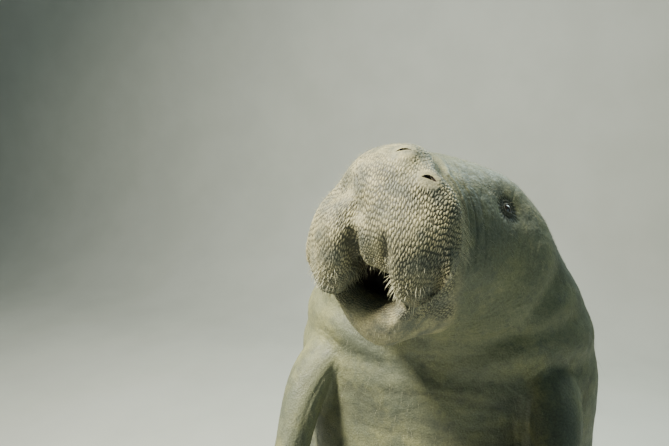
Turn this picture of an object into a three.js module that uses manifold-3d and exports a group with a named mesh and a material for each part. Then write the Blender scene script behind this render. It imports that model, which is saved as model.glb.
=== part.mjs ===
// A manatee at life size, upright in the water with its head level and turned to its right, on a plain display stand.
// Millimetres, +Z up. The animal faces -Y and its left side is +X. The origin is under the middle of the base.
import * as THREE from "three";
import { LoftGeometry } from "three/addons/geometries/LoftGeometry.js";
import { mergeVertices } from "three/addons/utils/BufferGeometryUtils.js";
import Module from "manifold-3d";

const wasm = await Module();
wasm.setup();

// Driving dimensions
const LENGTH = 2800; // snout to tail tip along the body's axis
const GAP = 0.3; // kept between pieces that touch
const AROUND = 60; // points round the body
const TAIL_CLEARANCE = 45; // lowest point of the animal above the base
const BASE = { width: 900, depth: 1300, height: 36, corner: 120, chamfer: 5 };
const ROD = { radius: 30, foot: 75, footHeight: 14 };
const ROD_PLACES = { stand_rod_front: 70, stand_rod_rear: 400 }; // y of each rod on the base
const HEAD_ROLL = 2; // degrees, the top of the head towards the animal's left
const HEAD_TURN = 14; // degrees, the snout towards the animal's right
const EYE = { b: 180, up: 17, radius: 10.5, sunk: 6.5, lid: 4.5, lidRing: 10.5 };
const LOBE = { middle: -2, apart: 52, reach: 31, forward: 16, down: 24, left: 0.88, right: 1.12 };
const NOSTRIL = { length: 22, width: 4, depth: 16 };
// The nostrils sit to the left of the lips' middle, because the snout is twisted. turn is the slit's, in radians.
const NOSTRILS = [
  { x: 56, b: 33, z: 22, turn: 0.03 },
  { x: 19, b: 45, z: 53, turn: 0.32 },
];

// Colours
const HIDE = new THREE.Color(0.33, 0.32, 0.27);
const EYE_DARK = new THREE.Color(0.03, 0.025, 0.02);
const NAIL = new THREE.Color(0.5, 0.46, 0.38);
const STEEL = new THREE.Color(0.12, 0.12, 0.125);

const SKIN_MATERIAL = new THREE.MeshStandardMaterial({ color: HIDE, roughness: 0.7, metalness: 0 });
const EYE_MATERIAL = new THREE.MeshStandardMaterial({ color: EYE_DARK, roughness: 0.12, metalness: 0 });
const NAIL_MATERIAL = new THREE.MeshStandardMaterial({ color: NAIL, roughness: 0.45, metalness: 0 });
const STAND_MATERIAL = new THREE.MeshStandardMaterial({ color: STEEL, roughness: 0.5, metalness: 0.6 });

// The straight animal is a loft through these rings, from inside the mouth to the tail's tip.
// Each ring is given by its top, side and bottom points: b runs back from the snout, x to the side,
// z up from the body's axis. thin is 1 on a round ring and more where the edges are thin. jaw is the share of
// the ring's width that is left low down, where the lower jaw is narrower than the lips.
const RINGS = [
  { top: [98, -98], side: [98, 20, -112], bottom: [104, -120], thin: 1, jaw: 1 }, // throat
  { top: [70, -90], side: [78, 32, -113], bottom: [88, -126], thin: 1, jaw: 0.9 },
  { top: [40, -84], side: [64, 42, -113], bottom: [72, -131], thin: 1, jaw: 0.8 }, // inner edge of the lips
  { top: [15, -80], side: [50, 56, -112], bottom: [55, -135], thin: 1, jaw: 0.7 }, // rim of the lips
  { top: [2, -62], side: [36, 76, -106], bottom: [43, -146], thin: 1, jaw: 0.62 },
  { top: [-5, -38], side: [25, 89, -94], bottom: [42, -166], thin: 1, jaw: 0.58 }, // chin, and the lip disc
  { top: [-3, -10], side: [24, 96, -80], bottom: [56, -184], thin: 1, jaw: 0.6 },
  { top: [8, 17], side: [34, 96, -66], bottom: [84, -194], thin: 1, jaw: 0.66 },
  { top: [28, 41], side: [52, 94, -54], bottom: [112, -194], thin: 1, jaw: 0.75 }, // nostrils
  { top: [58, 60], side: [80, 95, -45], bottom: [140, -191], thin: 1, jaw: 0.84 },
  { top: [96, 68], side: [112, 102, -38], bottom: [165, -187], thin: 1, jaw: 0.92 },
  { top: [137, 76], side: [150, 115, -29], bottom: [192, -182], thin: 1, jaw: 0.97 }, // eyes
  { top: [186, 92], side: [196, 136, -22], bottom: [222, -177], thin: 1, jaw: 1 },
  { top: [242, 115], side: [248, 166, -18], bottom: [258, -173], thin: 1, jaw: 1 },
  { top: [312, 132], side: [314, 193, -16], bottom: [306, -173], thin: 1, jaw: 1 },
  { top: [400, 147], side: [398, 235, -14], bottom: [382, -180], thin: 1, jaw: 1 }, // neck
  { top: [500, 168], side: [498, 258, -12], bottom: [486, -196], thin: 1, jaw: 1 },
  { top: [630, 198], side: [628, 260, -8], bottom: [620, -220], thin: 1, jaw: 1 }, // shoulders
  { top: [800, 234], side: [800, 268, -4], bottom: [800, -243], thin: 1, jaw: 1 },
  { top: [1030, 256], side: [1030, 300, 0], bottom: [1030, -260], thin: 1, jaw: 1 }, // belly
  { top: [1290, 256], side: [1290, 308, 0], bottom: [1290, -256], thin: 1, jaw: 1 },
  { top: [1550, 232], side: [1550, 274, 0], bottom: [1550, -226], thin: 1, jaw: 1 },
  { top: [1780, 186], side: [1780, 222, 0], bottom: [1780, -174], thin: 1, jaw: 1 },
  { top: [1960, 138], side: [1955, 172, 0], bottom: [1960, -126], thin: 1.05, jaw: 1 },
  { top: [2100, 100], side: [2085, 158, 0], bottom: [2100, -92], thin: 1.2, jaw: 1 }, // narrow of the tail
  { top: [2240, 78], side: [2212, 203, 0], bottom: [2240, -72], thin: 1.4, jaw: 1 },
  { top: [2390, 60], side: [2352, 275, 0], bottom: [2390, -56], thin: 1.6, jaw: 1 },
  { top: [2530, 45], side: [2488, 314, 0], bottom: [2530, -42], thin: 1.7, jaw: 1 }, // paddle
  { top: [2650, 32], side: [2605, 300, 0], bottom: [2650, -30], thin: 1.7, jaw: 1 },
  { top: [2735, 21], side: [2695, 240, 0], bottom: [2735, -20], thin: 1.6, jaw: 1 },
  { top: [2783, 13], side: [2758, 146, 0], bottom: [2783, -12], thin: 1.4, jaw: 1 },
  { top: [2800, 7], side: [2793, 48, 0], bottom: [2800, -7], thin: 1.1, jaw: 1 },
];
// Sections lofted from each ring to the next, closer together on the head and the neck
const STEPS = [1, 1, 2, 3, 3, 3, 3, 3, 3, 3, 3, 2, 2, 3, 3, 3, 3, 2, 2, 2, 2, 2, 2, 2, 2, 2, 2, 2, 2, 2, 2];

// Slope of the body's axis above the horizontal, in degrees, at distances back from the snout
const SLOPES = [
  [0, 4], [180, 24], [330, 63], [600, 82], [900, 71], [1300, 67], [1800, 58], [2100, 45], [2450, 27], [2800, 15],
];

// Where the body is cut into pieces, back from the snout, and the piece in front of each cut
const CUTS = [
  { name: "muzzle", b: 136, reach: 220 },
  { name: "head", b: 290, reach: 235 },
  { name: "neck", b: 452, reach: 290 },
  { name: "torso", b: 1740, reach: 330 },
  { name: "tail_stock", b: 2140, reach: 330 },
];
const LAST_PIECE = "tail_paddle";

// Each flipper hangs from the shoulder through these sections: out to the side, forward and down from its root,
// the breadth from front to back, the thickness, and the turn of its front edge outwards in degrees
const FLIPPER_ROOT = { left: [200, 470, -76], right: [210, 470, -76] }; // on the straight animal
const FLIPPER = [
  { out: -66, forward: -24, down: -40, breadth: 150, thick: 92, turn: 0 },
  { out: -34, forward: 12, down: -6, breadth: 146, thick: 86, turn: 0 },
  { out: -12, forward: 52, down: 40, breadth: 134, thick: 74, turn: -1 }, // elbow
  { out: -6, forward: 92, down: 98, breadth: 122, thick: 60, turn: -2 },
  { out: -4, forward: 124, down: 164, breadth: 126, thick: 50, turn: -3 },
  { out: -4, forward: 146, down: 232, breadth: 142, thick: 42, turn: -3 }, // wrist
  { out: -5, forward: 158, down: 300, breadth: 148, thick: 34, turn: -2 },
  { out: -6, forward: 164, down: 354, breadth: 132, thick: 27, turn: 0 },
  { out: -7, forward: 166, down: 388, breadth: 98, thick: 20, turn: 1 },
  { out: -7, forward: 166, down: 404, breadth: 54, thick: 13, turn: 1 },
];
const FLIPPER_AROUND = 24;
const FLIPPER_LEAN = { left: -9, right: 3.5 }; // degrees, the tip outwards
const FLIPPER_TURN = { left: -8, right: -3 }; // degrees, added to the turn of every section
const NAILS = [[7.35, -0.62], [7.8, 0], [7.35, 0.6]]; // place down the flipper and across it
const NAIL_SIZE = { across: 9, along: 13, high: 5 };

const smooth = (t) => t * t * (3 - 2 * t);
const clamp01 = (t) => Math.min(1, Math.max(0, t));
const degrees = (a) => (a * Math.PI) / 180;

// The curve through four values that a Catmull-Rom spline gives between the middle two
function through(p0, p1, p2, p3, t) {
  return 0.5 * (2 * p1 + (p2 - p0) * t + (2 * p0 - 5 * p1 + 4 * p2 - p3) * t * t
    + (3 * p1 - p0 - 3 * p2 + p3) * t * t * t);
}

// The ring at a place r along the list, whole or between two rings
function ringAt(r) {
  const i = Math.min(Math.floor(r), RINGS.length - 2);
  const near = [i - 1, i, i + 1, i + 2].map((k) => RINGS[Math.min(Math.max(k, 0), RINGS.length - 1)]);
  const mix = (read) => through(...near.map(read), r - i);
  return {
    top: [mix((n) => n.top[0]), mix((n) => n.top[1])],
    side: [mix((n) => n.side[0]), mix((n) => n.side[1]), mix((n) => n.side[2])],
    bottom: [mix((n) => n.bottom[0]), mix((n) => n.bottom[1])],
    thin: mix((n) => n.thin),
    jaw: mix((n) => n.jaw),
  };
}

// A point of the plain loft: x to the side, y back, z up. angle is 0 at the top.
function plainPoint(r, angle) {
  const ring = ringAt(r);
  const across = Math.sin(angle);
  const height = Math.cos(angle);
  const end = height > 0 ? ring.top : ring.bottom;
  const rise = Math.pow(Math.abs(height), ring.thin);
  const wide = 1 - (1 - ring.jaw) * smooth(clamp01(-height / 0.65));
  return new THREE.Vector3(
    ring.side[1] * across * wide,
    ring.side[0] + (end[0] - ring.side[0]) * height * height,
    ring.side[2] + (end[1] - ring.side[2]) * rise,
  );
}

// A smooth swelling, 1 at its middle
function swell(p, middle, reach) {
  const d = ((p.x - middle[0]) / reach[0]) ** 2 + ((p.y - middle[1]) / reach[1]) ** 2
    + ((p.z - middle[2]) / reach[2]) ** 2;
  return Math.exp(-d);
}

// A groove or ridge along a value that is 0 on its line
const line = (distance, width) => Math.exp(-((distance / width) ** 2));

// Distance behind the fold that parts the muzzle from the cheeks and the forehead
function behindMuzzle(p) {
  return p.y - 70 + 0.16 * p.z - 0.009 * Math.max(0, -p.z - 50) ** 2 - 1.15 * Math.max(0, p.z - 34);
}

// How far the flesh stands out of the plain loft at a point of it
function relief(p) {
  const mirrored = new THREE.Vector3(Math.abs(p.x), p.y, p.z);
  const lip = new THREE.Vector3(Math.abs(p.x - 5), p.y, p.z);
  const lobe = new THREE.Vector3(Math.abs(p.x - LOBE.middle), p.y, p.z);
  const onDisc = smooth(clamp01((75 - p.y) / 45));
  let out = 0;
  out += 9 * swell(lobe, [54, 16, -90], [24, 40, 22]); // lobes of the upper lip
  out += 7 * swell(lip, [54, 4, -36], [32, 40, 34]); // pads of the disc
  out -= 12 * swell(p, [-15, -3, -16], [17, 30, 22]); // hollow over the lip
  const cleft = smooth(clamp01((-32 - p.z) / 24)) * smooth(clamp01((p.z + 104) / 20)) * onDisc;
  out -= (9 * line(p.x + 15, 7) + 12 * line(p.x - 28, 9)) * cleft; // the two clefts of the lip
  out += 3 * line(p.x - 4, 9) * cleft;
  for (const { x, b, z } of NOSTRILS) out += 4 * swell(p, [x, b, z], [16, 22, 18]); // mounds of the nostrils
  out -= 3 * swell(p, [41, 44, 43], [9, 26, 20]);
  out += 6 * swell(p, [82, 56, 0], [24, 34, 34]); // fullness of the snout's left side
  out -= 15 * swell(p, [-55, 18, 6], [30, 40, 22]); // flatter right side
  out += 3 * swell(p, [34, 62, 62], [20, 24, 20]);
  const behind = behindMuzzle(p);
  const beside = smooth(clamp01((p.z + 118) / 50));
  out -= 7 * line(behind, 9) * beside; // fold behind the muzzle
  out += 4 * line(behind + 24, 18) * beside;
  out -= 2.5 * line(behind - 24, 7) * beside * smooth(clamp01((p.z + 90) / 40));
  out += 8 * swell(mirrored, [108, 150, -84], [50, 55, 45]); // cheek
  out += 8.5 * swell(mirrored, [102, 197, 62], [44, 56, 30]); // brow
  out += 3 * swell(mirrored, [150, 250, 42], [30, 44, 32]);
  out -= 5 * swell(mirrored, [121, 181, 17], [30, 26, 19]); // hollow of the eye
  const low = smooth(clamp01((10 - p.z) / 60));
  out -= 10 * line(p.y - 300 - 52 * (Math.max(0, -61 - p.z) / 95) ** 2, 22) * low; // under the jaw
  out -= 7 * line(p.y - 385 - 0.3 * p.z, 21) * smooth(clamp01((60 - p.z) / 140)); // throat folds
  out -= 6 * line(p.y - 470 - 0.3 * p.z, 23) * smooth(clamp01((60 - p.z) / 140));
  out -= 5 * line(p.y - 372, 34) * smooth(clamp01((p.z - 70) / 60)); // nape
  out += 5 * swell(mirrored, [225, 600, 40], [80, 130, 110]); // shoulder blade
  return out;
}

// How far the upper lip hangs forward and down in a lobe on each side of its middle
function hang(p, r, angle) {
  const share = LOBE[p.x > 0 ? "left" : "right"];
  const across = Math.exp(-(((Math.abs(p.x - LOBE.middle) - LOBE.apart) / LOBE.reach) ** 4));
  const back = smooth(clamp01((r - 1.2) / 1.6)) * (1 - smooth(clamp01((r - 3.4) / 3.4)));
  const under = 0.3 * smooth(clamp01((r - 3) / 1.5));
  const upper = smooth(clamp01((Math.cos(angle) + 0.05 + under) / 0.35));
  return new THREE.Vector3(0, -LOBE.forward, -LOBE.down * share).multiplyScalar(across * back * upper);
}

// A point of the straight animal's skin, grown outwards by extra
function straightPoint(r, angle, extra = 0) {
  const p = plainPoint(r, angle);
  const step = 0.02;
  const along = plainPoint(Math.min(r + step, RINGS.length - 1), angle)
    .sub(plainPoint(Math.max(r - step, 0), angle));
  const round = plainPoint(r, angle + step).sub(plainPoint(r, angle - step));
  const normal = new THREE.Vector3().crossVectors(round, along).normalize();
  return p.clone().addScaledVector(normal, relief(p) + extra).add(hang(p, r, angle));
}

function slopeAt(b) {
  const i = Math.max(0, Math.min(SLOPES.length - 2, SLOPES.findIndex(([at]) => at > b) - 1));
  const near = [i - 1, i, i + 1, i + 2].map((k) => SLOPES[Math.min(Math.max(k, 0), SLOPES.length - 1)]);
  const t = clamp01((b - near[1][0]) / (near[2][0] - near[1][0]));
  return degrees(through(...near.map((n) => n[1]), t));
}

// The directions to the side, back along the body and up from its back, at a distance b from the snout
function frameAt(b) {
  const slope = slopeAt(b);
  const turn = degrees(HEAD_TURN) * (1 - smooth(clamp01((b - 110) / 370)));
  return {
    side: new THREE.Vector3(Math.cos(turn), -Math.sin(turn), 0),
    back: new THREE.Vector3(Math.sin(turn) * Math.cos(slope), Math.cos(turn) * Math.cos(slope), -Math.sin(slope)),
    up: new THREE.Vector3(Math.sin(turn) * Math.sin(slope), Math.cos(turn) * Math.sin(slope), Math.cos(slope)),
  };
}

// The body's axis, walked in short steps from the snout
const AXIS_STEP = 5;
const axis = [new THREE.Vector3()];
for (let b = AXIS_STEP / 2; b < LENGTH; b += AXIS_STEP) {
  axis.push(axis.at(-1).clone().addScaledVector(frameAt(b).back, AXIS_STEP));
}

// Takes a point of the straight animal to its place on the bent one
function bend(p) {
  const b = Math.min(Math.max(p.y, 0), LENGTH - AXIS_STEP);
  const i = Math.floor(b / AXIS_STEP);
  const { side, back, up } = frameAt(b);
  const roll = degrees(HEAD_ROLL) * smooth(clamp01((620 - b) / 480));
  return axis[i].clone().lerp(axis[i + 1], b / AXIS_STEP - i)
    .addScaledVector(side, p.x * Math.cos(roll) + p.z * Math.sin(roll))
    .addScaledVector(back, p.y - b)
    .addScaledVector(up, p.z * Math.cos(roll) - p.x * Math.sin(roll));
}

// A closed geometry as a manifold-3d solid
function solid(geometry) {
  const bare = geometry.index ? geometry.toNonIndexed() : geometry.clone();
  bare.deleteAttribute("normal");
  bare.deleteAttribute("uv");
  const merged = mergeVertices(bare, 1e-3);
  const index = merged.index.array;
  const kept = [];
  for (let i = 0; i < index.length; i += 3) {
    const [a, b, c] = [index[i], index[i + 1], index[i + 2]];
    if (a !== b && b !== c && a !== c) kept.push(a, b, c);
  }
  return new wasm.Manifold(new wasm.Mesh({
    numProp: 3,
    vertProperties: new Float32Array(merged.attributes.position.array),
    triVerts: new Uint32Array(kept),
  }));
}

// A manifold-3d solid as a named mesh
function mesh(name, shape, material) {
  const largest = shape.decompose().sort((a, b) => b.volume() - a.volume())[0];
  const { numProp, vertProperties, triVerts } = largest.getMesh();
  const position = new Float32Array((vertProperties.length / numProp) * 3);
  for (let i = 0; i < position.length / 3; i++) {
    position.set(vertProperties.subarray(i * numProp, i * numProp + 3), i * 3);
  }
  const geometry = new THREE.BufferGeometry()
    .setAttribute("position", new THREE.BufferAttribute(position, 3))
    .setIndex(new THREE.BufferAttribute(triVerts, 1));
  geometry.computeVertexNormals();
  const made = new THREE.Mesh(geometry, material);
  made.name = name;
  return made;
}

// A section with every point at the middle of another, which closes the end of a loft
function closing(section) {
  const middle = section.reduce((sum, p) => sum.add(p), new THREE.Vector3()).divideScalar(section.length);
  return section.map(() => middle);
}

// A closed solid lofted through sections, each a ring of the same number of points
const lofted = (sections) => (
  solid(new LoftGeometry([closing(sections[0]), ...sections, closing(sections.at(-1))]))
);

// The whole body without flippers, grown outwards by extra
function bodySolid(extra) {
  const section = (r) => Array.from({ length: AROUND }, (_, k) => (
    bend(straightPoint(r, Math.PI + (2 * Math.PI * k) / AROUND, extra))
  ));
  const sections = [];
  STEPS.forEach((steps, ring) => {
    for (let k = 0; k < steps; k++) sections.push(section(ring + k / steps));
  });
  sections.push(section(RINGS.length - 1));
  return lofted(sections);
}

// A place on a flipper: down its length, across it and out of its outer face, from the middle of the section
function flipperPoint(side, at, across, outwards) {
  const name = side > 0 ? "left" : "right";
  const [apart, back, up] = FLIPPER_ROOT[name];
  const root = bend(new THREE.Vector3(side * apart, back, up));
  const i = Math.min(Math.floor(at), FLIPPER.length - 2);
  const near = [i - 1, i, i + 1, i + 2].map((k) => FLIPPER[Math.min(Math.max(k, 0), FLIPPER.length - 1)]);
  const mix = (key) => through(...near.map((n) => n[key]), at - i);
  const turn = degrees(mix("turn") + FLIPPER_TURN[name]);
  const lean = degrees(FLIPPER_LEAN[name]);
  const wide = (across * mix("breadth")) / 2;
  const deep = ((outwards * mix("thick")) / 2) * (1 + 0.25 * across); // thicker in front
  const x = mix("out") + wide * Math.sin(turn) + deep * Math.cos(turn);
  const y = -mix("forward") - wide * Math.cos(turn) + deep * Math.sin(turn);
  const down = mix("down");
  return root.add(new THREE.Vector3(
    side * (x * Math.cos(lean) + down * Math.sin(lean)), y, -down * Math.cos(lean) + x * Math.sin(lean),
  ));
}

// A flipper, grown outwards by extra
function flipperSolid(side, extra) {
  const sections = [];
  for (let at = 0; at <= FLIPPER.length - 1; at += 0.5) {
    const wide = FLIPPER[Math.floor(at)].breadth;
    const thick = FLIPPER[Math.floor(at)].thick;
    sections.push(Array.from({ length: FLIPPER_AROUND }, (_, k) => {
      const angle = (-side * 2 * Math.PI * k) / FLIPPER_AROUND;
      return flipperPoint(
        side, at, Math.cos(angle) * (1 + (2 * extra) / wide), Math.sin(angle) * (1 + (2 * extra) / thick),
      );
    }));
  }
  return lofted(sections);
}

// A geometry moved to a point, with its z axis turned along a direction
function placed(geometry, point, direction) {
  const turn = new THREE.Quaternion().setFromUnitVectors(new THREE.Vector3(0, 0, 1), direction.clone().normalize());
  return geometry.applyMatrix4(new THREE.Matrix4().compose(point, turn, new THREE.Vector3(1, 1, 1)));
}

// The place in the list of rings, and the angle, of the skin nearest to a distance back and a height
function skinPlace(b, up, side) {
  let best = { miss: Infinity };
  for (let r = 4; r < 16; r += 0.05) {
    for (let angle = 0; angle < Math.PI; angle += 0.01) {
      const p = plainPoint(r, side * angle);
      const miss = Math.hypot(p.y - b, p.z - up);
      if (miss < best.miss) best = { miss, r, angle: side * angle };
    }
  }
  return best;
}

// A point of the bent skin with the direction straight out of it, sunk below the skin by a depth
function skinSpot(place, sunk) {
  const point = bend(straightPoint(place.r, place.angle, -sunk));
  const outer = bend(straightPoint(place.r, place.angle, 10 - sunk));
  return { point, outwards: outer.sub(point).normalize() };
}

// Eyes: a ball in a socket with a ring of lid round it
function eye(side) {
  const place = skinPlace(EYE.b, EYE.up, side);
  const ball = skinSpot(place, EYE.sunk);
  const rim = skinSpot(place, EYE.lid * 0.6);
  return {
    ball: solid(new THREE.SphereGeometry(EYE.radius, 20, 12).translate(...ball.point)),
    socket: solid(new THREE.SphereGeometry(EYE.radius + GAP, 20, 12).translate(...ball.point)),
    lid: solid(placed(new THREE.TorusGeometry(EYE.lidRing, EYE.lid, 8, 20), rim.point, rim.outwards)),
  };
}

// The cutter of a nostril: a crescent slit through the skin
function nostril({ x, b, turn }) {
  let place = { miss: Infinity };
  for (let angle = -1; angle < 1.3; angle += 0.01) {
    for (let r = 7; r < 10; r += 0.05) {
      const p = plainPoint(r, angle);
      const miss = Math.hypot(p.x - x, p.y - b);
      if (miss < place.miss) place = { miss, r, angle };
    }
  }
  const { point, outwards } = skinSpot(place, NOSTRIL.depth);
  const half = NOSTRIL.length / 2;
  const shape = new THREE.Shape().moveTo(-half, 0)
    .quadraticCurveTo(0, half * 0.9, half, 0)
    .quadraticCurveTo(0, half * 0.9 - 2 * NOSTRIL.width, -half, 0);
  const slit = new THREE.ExtrudeGeometry(shape, { depth: 2 * NOSTRIL.depth, bevelEnabled: false, curveSegments: 8 });
  return solid(placed(slit.rotateZ(turn), point, outwards));
}

// A thin slab across the body, which parts it in two
function slab(cut) {
  const { back } = frameAt(cut.b);
  return solid(placed(new THREE.BoxGeometry(2 * cut.reach, 2 * cut.reach, GAP), bend(new THREE.Vector3(0, cut.b, 0)), back));
}

// The animal's pieces, in the frame of its own snout
const whole = bodySolid(0);
const grown = bodySolid(GAP);
const eyes = { left: eye(1), right: eye(-1) };
const fleshed = [eyes.left, eyes.right].reduce((sum, e) => sum.add(e.lid).subtract(e.socket), whole);
const opened = NOSTRILS.reduce((sum, place) => sum.subtract(nostril(place)), fleshed);

const pieces = [];
let rest = opened;
for (const cut of CUTS) {
  const { back } = frameAt(cut.b);
  const middle = bend(new THREE.Vector3(0, cut.b, 0));
  const parted = rest.subtract(slab(cut)).decompose();
  const behind = (part) => {
    const box = part.boundingBox();
    const centre = new THREE.Vector3(...box.min).add(new THREE.Vector3(...box.max)).multiplyScalar(0.5);
    return centre.sub(middle).dot(back) > 0;
  };
  const front = parted.filter((part) => !behind(part)).sort((p, q) => q.volume() - p.volume())[0];
  rest = parted.filter(behind).sort((p, q) => q.volume() - p.volume())[0];
  pieces.push({ name: cut.name, shape: front, material: SKIN_MATERIAL });
}
pieces.push({ name: LAST_PIECE, shape: rest, material: SKIN_MATERIAL });

for (const [name, side] of [["left", 1], ["right", -1]]) {
  pieces.push({ name: "eye_" + name, shape: eyes[name].ball, material: EYE_MATERIAL });
  pieces.push({ name: "flipper_" + name, shape: flipperSolid(side, 0).subtract(grown), material: SKIN_MATERIAL });
  const around = flipperSolid(side, GAP);
  NAILS.forEach(([at, across], k) => {
    const spot = flipperPoint(side, at, across, 0.8);
    const outer = flipperPoint(side, at, across, 2);
    const nail = new THREE.SphereGeometry(1, 14, 8).scale(NAIL_SIZE.across, NAIL_SIZE.along, NAIL_SIZE.high);
    const shape = solid(placed(nail, spot, outer.sub(spot))).subtract(around);
    pieces.push({ name: `nail_${name}_${k + 1}`, shape, material: NAIL_MATERIAL });
  });
}

// The animal is carried over the middle of the base, just clear of it
const trunk = bend(new THREE.Vector3(0, 1200, 0));
const lowest = Math.min(...pieces.map(({ shape }) => shape.boundingBox().min[2]));
const lift = [-trunk.x, -trunk.y, BASE.height + TAIL_CLEARANCE - lowest];

// A base with rounded corners and a chamfered top edge
function baseSolid() {
  const { width, depth, height, corner, chamfer } = BASE;
  const shape = new THREE.Shape();
  const [x, y] = [width / 2 - chamfer, depth / 2 - chamfer];
  shape.absarc(x - corner, y - corner, corner, 0, Math.PI / 2);
  shape.absarc(-x + corner, y - corner, corner, Math.PI / 2, Math.PI);
  shape.absarc(-x + corner, -y + corner, corner, Math.PI, 1.5 * Math.PI);
  shape.absarc(x - corner, -y + corner, corner, 1.5 * Math.PI, 2 * Math.PI);
  return solid(new THREE.ExtrudeGeometry(shape, {
    depth: height - 2 * chamfer, bevelThickness: chamfer, bevelSize: chamfer, bevelSegments: 1, curveSegments: 8,
  }).translate(0, 0, chamfer));
}

// A rod on a round foot, up to the animal's underside
function rodSolid(y, body) {
  const { radius, foot, footHeight } = ROD;
  const bottom = BASE.height + GAP;
  const top = bottom + 1000;
  const profile = [
    [0, bottom], [foot, bottom], [foot, bottom + footHeight - 3], [foot - 3, bottom + footHeight],
    [radius + 6, bottom + footHeight], [radius, bottom + footHeight + 6], [radius, top], [0, top],
  ].map(([r, z]) => new THREE.Vector2(r, z));
  const rod = solid(new THREE.LatheGeometry(profile, 32).rotateX(Math.PI / 2).translate(0, y, 0));
  return rod.subtract(body).decompose().sort((p, q) => p.boundingBox().min[2] - q.boundingBox().min[2])[0];
}

const group = new THREE.Group();
group.name = "manatee";
for (const { name, shape, material } of pieces) group.add(mesh(name, shape.translate(lift), material));
group.add(mesh("stand_base", baseSolid(), STAND_MATERIAL));
for (const [name, y] of Object.entries(ROD_PLACES)) {
  group.add(mesh(name, rodSolid(y, grown.translate(lift)), STAND_MATERIAL));
}
export default group;
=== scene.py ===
"""The look of the manatee on its display stand: skin, eyes, nails, hairs, stand, floor and light."""

import math

import bpy
import numpy as np
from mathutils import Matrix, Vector


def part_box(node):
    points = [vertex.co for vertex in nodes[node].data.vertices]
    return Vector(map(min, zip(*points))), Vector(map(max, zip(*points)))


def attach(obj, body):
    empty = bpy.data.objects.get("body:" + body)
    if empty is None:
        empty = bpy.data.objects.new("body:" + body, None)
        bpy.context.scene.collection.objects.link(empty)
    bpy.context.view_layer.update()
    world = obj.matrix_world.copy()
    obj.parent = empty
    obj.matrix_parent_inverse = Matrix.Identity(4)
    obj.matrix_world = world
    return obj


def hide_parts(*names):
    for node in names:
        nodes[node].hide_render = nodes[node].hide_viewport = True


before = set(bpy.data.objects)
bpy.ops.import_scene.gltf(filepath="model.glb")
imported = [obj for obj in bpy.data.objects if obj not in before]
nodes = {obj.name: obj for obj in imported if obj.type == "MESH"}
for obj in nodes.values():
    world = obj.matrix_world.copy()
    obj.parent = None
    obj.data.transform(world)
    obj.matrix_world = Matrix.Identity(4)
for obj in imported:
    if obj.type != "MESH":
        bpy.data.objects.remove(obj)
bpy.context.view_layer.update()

# Shape of the animal, the same as in the part's source.
# Millimetres, in the frame of the snout: x to the animal's left, y back, z up.

LENGTH = 2800
HEAD_ROLL = 2
HEAD_TURN = 14
LIP_TWIST = 5

# Each ring of the straight animal: top b, z; side b, x, z; bottom b, z; thin edges; narrowing of the jaw
RINGS = np.array([
    [98, -98, 98, 20, -112, 104, -120, 1, 0],  # throat
    [70, -90, 78, 32, -113, 88, -126, 1, 0.1],
    [40, -84, 64, 42, -113, 72, -131, 1, 0.2],  # inner edge of the lips
    [15, -80, 50, 56, -112, 55, -135, 1, 0.3],  # rim of the lips
    [2, -62, 36, 76, -106, 43, -146, 1, 0.38],
    [-5, -38, 25, 89, -94, 42, -166, 1, 0.42],  # chin, and the lip disc
    [-3, -10, 24, 96, -80, 56, -184, 1, 0.4],
    [8, 17, 34, 96, -66, 84, -194, 1, 0.34],
    [28, 41, 52, 94, -54, 112, -194, 1, 0.25],  # nostrils
    [58, 60, 80, 95, -45, 140, -191, 1, 0.16],
    [96, 68, 112, 102, -38, 165, -187, 1, 0.08],
    [137, 76, 150, 115, -29, 192, -182, 1, 0.03],  # eyes
    [186, 92, 196, 136, -22, 222, -177, 1, 0],
    [242, 115, 248, 166, -18, 258, -173, 1, 0],
    [312, 132, 314, 193, -16, 306, -173, 1, 0],
    [400, 147, 398, 235, -14, 382, -180, 1, 0],  # neck
    [500, 168, 498, 258, -12, 486, -196, 1, 0],
    [630, 198, 628, 260, -8, 620, -220, 1, 0],  # shoulders
    [800, 234, 800, 268, -4, 800, -243, 1, 0],
    [1030, 256, 1030, 300, 0, 1030, -260, 1, 0],  # belly
    [1290, 256, 1290, 308, 0, 1290, -256, 1, 0],
    [1550, 232, 1550, 274, 0, 1550, -226, 1, 0],
    [1780, 186, 1780, 222, 0, 1780, -174, 1, 0],
    [1960, 138, 1955, 172, 0, 1960, -126, 1.05, 0],
    [2100, 100, 2085, 158, 0, 2100, -92, 1.2, 0],  # narrow of the tail
    [2240, 78, 2212, 203, 0, 2240, -72, 1.4, 0],
    [2390, 60, 2352, 275, 0, 2390, -56, 1.6, 0],
    [2530, 45, 2488, 314, 0, 2530, -42, 1.7, 0],  # paddle
    [2650, 32, 2605, 300, 0, 2650, -30, 1.7, 0],
    [2735, 21, 2695, 240, 0, 2735, -20, 1.6, 0],
    [2783, 13, 2758, 146, 0, 2783, -12, 1.4, 0],
    [2800, 7, 2793, 48, 0, 2800, -7, 1.1, 0],
], float)
LAST_RING = len(RINGS) - 1

# Slope of the body's axis in degrees, at distances back from the snout
SLOPES = np.array([
    [0, 4], [180, 24], [330, 63], [600, 82], [900, 71],
    [1300, 67], [1800, 58], [2100, 45], [2450, 27], [2800, 15],
], float)

LOBE = {"middle": -2, "apart": 52, "reach": 31, "forward": 16, "down": 24, "uneven": 0.12}
EYE = {"b": 180, "up": 17, "radius": 10.5, "sunk": 6.5}
NOSTRILS = {
    "left": {"x": 56, "b": 33, "z": 22, "turn": 0.3, "half": 10.5, "width": 2.7},
    "right": {"x": 19, "b": 45, "z": 53, "turn": 0.5, "half": 10.5, "width": 2.1},
}

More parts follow.
